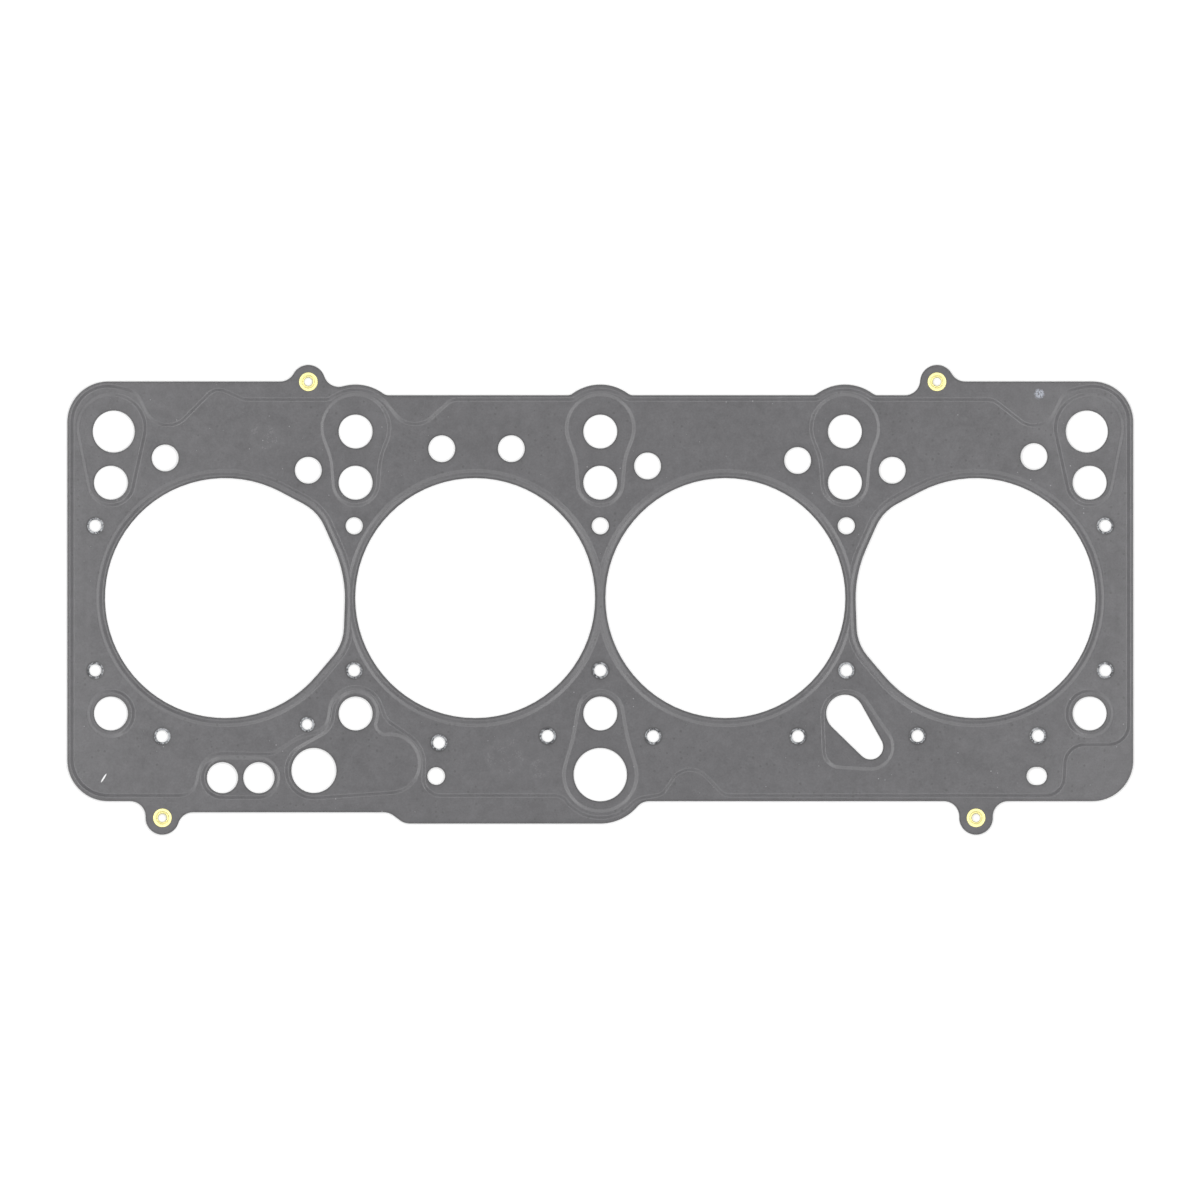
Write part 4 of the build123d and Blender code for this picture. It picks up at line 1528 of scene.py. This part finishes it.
STEEL = MetalFinish(name="bare_steel_face", colour=(0.20, 0.205, 0.213, 1.0), deep=(0.03, 0.03, 0.032, 1.0),
                    roughness=0.35, cloud=0.95, contrast=5.0, patch_scale=1450.0, grain_scale=4600.0,
                    relief=0.00005)
SHEARED = MetalFinish(name="bare_steel_edge", colour=(0.30, 0.30, 0.30, 1.0), deep=(0.12, 0.12, 0.12, 1.0),
                      roughness=0.42, cloud=0.5, contrast=1.0, patch_scale=900.0, grain_scale=3500.0,
                      relief=0.00002)
BRASS = MetalFinish(name="pressed_brass", colour=(0.56, 0.52, 0.247, 1.0), deep=(0.42, 0.38, 0.158, 1.0),
                    roughness=0.26, cloud=0.35, contrast=1.0, patch_scale=900.0, grain_scale=2400.0,
                    relief=0.000008, specks=Specks(1500.0, 0.04, 0.3, 0.7))


# ------------------------------------------------------------------ studio
@dataclass(frozen=True)
class Lamp:
    """A flat soft lamp that faces down: its middle and size in plan, in millimetres, and its brightness."""

    name: str
    middle: Point
    size: Point
    strength: float


@dataclass
class Studio:
    """Pale floor, a cross of soft lamps round a dim one overhead, and the camera straight above.

    Lengths are in millimetres. The floor's lift is the light that it seems to give, near and far out.
    """

    look_at: Point = (-0.10, -0.69)
    view_width: float = 431.6
    camera_height: float = 900.0
    lamp_height: float = 850.0
    middle_half: Point = (232.0, 170.0)
    arm_reach: Point = (400.0, 443.0)
    side_reach: Point = (-290.0, 400.0)
    end_reach: float = 760.0
    row_strength: float = 4.6
    end_strength: float = 0.6
    cross_strength: float = 2.6
    middle_strength: float = 0.65
    sky: float = 0.50
    floor_size: float = 4000.0
    floor_drop: float = 0.02
    floor_shade: float = 0.75
    floor_roughness: float = 0.9
    floor_lift: tuple[float, float] = (0.32, 0.85)
    lift_reach: Point = (300.0, 1100.0)
    far_clip: float = 20000.0

    @staticmethod
    def seen(board: Board) -> Socket:
        """One where eyes, gloss or glass look, and nought for scattered light."""
        path = board.add("ShaderNodeLightPath")
        looked = board.maths("MAXIMUM", path.outputs["Is Camera Ray"], path.outputs["Is Glossy Ray"])
        return board.maths("MAXIMUM", looked, path.outputs["Is Transmission Ray"])

    def floor(self) -> Object:
        """Makes the flat floor under the gasket, with its pale material."""
        half, level = self.floor_size * MM / 2, -self.floor_drop * MM
        corners = [(x * half, y * half, level) for x, y in ((-1, -1), (1, -1), (1, 1), (-1, 1))]
        mesh = bpy.data.meshes.new("floor")
        mesh.from_pydata(corners, [], [(0, 1, 2, 3)])
        mesh.materials.append(self.floor_material())
        made = new_object("floor", mesh)
        return made

    def floor_material(self) -> Material:
        """White floor that takes shadows; eyes, gloss and glass see it lifted to white, more so far out."""
        surface = Surface("pale_floor")
        board = surface.board
        away = board.vector("LENGTH", surface.place).outputs["Value"]
        lift = board.fit(away, *(reach * MM for reach in self.lift_reach), *self.floor_lift)
        board.feed_named(surface.shader, {
            "Base Color": (self.floor_shade,) * 3 + (1.0,), "Roughness": self.floor_roughness,
            "Specular IOR Level": 0.0, "Emission Color": WHITE,
            "Emission Strength": board.maths("MULTIPLY", self.seen(board), lift)})
        return surface.material

    def plan(self) -> list[Lamp]:
        """The dim lamp in the middle, two arms along the row with faint ends, and two across it."""
        (wide, deep), (far_x, far_y) = self.middle_half, self.arm_reach
        low, high = self.side_reach
        lamps = [Lamp("middle_lamp", (0.0, 0.0), (2 * wide, 2 * deep), self.middle_strength)]
        for side in (-1, 1):
            lamps.append(Lamp(f"row_lamp_{side + 2}", (side * (far_x + wide) / 2, (low + high) / 2),
                              (far_x - wide, high - low), self.row_strength))
            lamps.append(Lamp(f"end_lamp_{side + 2}", (side * (self.end_reach + far_x) / 2, 0.0),
                              (self.end_reach - far_x, -2 * low), self.end_strength))
            lamps.append(Lamp(f"cross_lamp_{side + 2}", (0.0, side * (far_y + deep) / 2),
                              (2 * wide, far_y - deep), self.cross_strength))
        return lamps

    def lamps(self) -> None:
        """Hangs the lamps. Watts = strength * pi * area, so that strength is brightness."""
        for lamp in self.plan():
            light = bpy.data.lights.new(lamp.name, "AREA")
            light.shape = "RECTANGLE"
            light.size, light.size_y = lamp.size[0] * MM, lamp.size[1] * MM
            light.energy = lamp.strength * np.pi * light.size * light.size_y
            made = new_object(lamp.name, light)
            made.location = (lamp.middle[0] * MM, lamp.middle[1] * MM, self.lamp_height * MM)
            made.visible_camera = False

    def world(self) -> None:
        """Gives the even pale light of the room, which eyes, gloss and glass see as plain white."""
        world = bpy.data.worlds.new("room")
        world.use_nodes = True
        background = world.node_tree.nodes["Background"]
        board = Board(world.node_tree)
        strength = board.maths("MULTIPLY_ADD", self.seen(board), 1.0 - self.sky, self.sky)
        board.feed_named(background, {"Color": WHITE, "Strength": strength})
        bpy.context.scene.world = world

    def camera(self) -> None:
        """Sets the camera straight above, upright in the photo's frame."""
        data = bpy.data.cameras.new("camera")
        data.type = "ORTHO"
        data.ortho_scale = self.view_width * MM
        data.clip_end = self.far_clip * MM
        camera = new_object("camera", data)
        camera.location = (self.look_at[0] * MM, self.look_at[1] * MM, self.camera_height * MM)
        bpy.context.scene.camera = camera

    def build(self) -> None:
        """Sets up the whole studio."""
        self.floor()
        self.lamps()
        self.world()
        self.camera()
        bpy.context.scene.view_settings.view_transform = "Standard"


@dataclass
class Gasket:
    """The whole gasket: two formed sheets, the core between them and the eyelets."""

    effects: Effects
    holes: Passages = field(default_factory=Passages)

    def build(self) -> None:
        """Makes every piece and reports it."""
        edge = OuterEdge(self.holes)
        pads = SealingPads(self.holes)
        bead = HalfBead(self.holes, edge, pads)
        loops = BeadLoops(self.holes, edge)
        bare = SHEARED.build(self.effects)
        for side in Side:
            coat = CoatFinish().build(self.effects, side is Side.UPPER)
            piece = FormedSheet(side, self.holes, edge, pads, bead, loops).build(coat, bare)
            LOG.info("%s: %d triangles", piece.name, len(piece.data.polygons))
        eyelets = EyeletSet(edge.lugs()).build(BRASS.build(self.effects))
        LOG.info("%s: %d triangles", eyelets.name, len(eyelets.data.polygons))
        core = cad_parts["core_sheet"]
        core.data.materials.clear()
        core.data.materials.append(STEEL.build(self.effects))
        LOG.info("core_sheet keeps its CAD mesh")


def main() -> None:
    logging.basicConfig(level=logging.INFO, format="%(name)s %(message)s")
    Gasket(Effects()).build()
    Studio().build()
    LOG.info("boxes written")


if __name__ == "__main__":
    main()
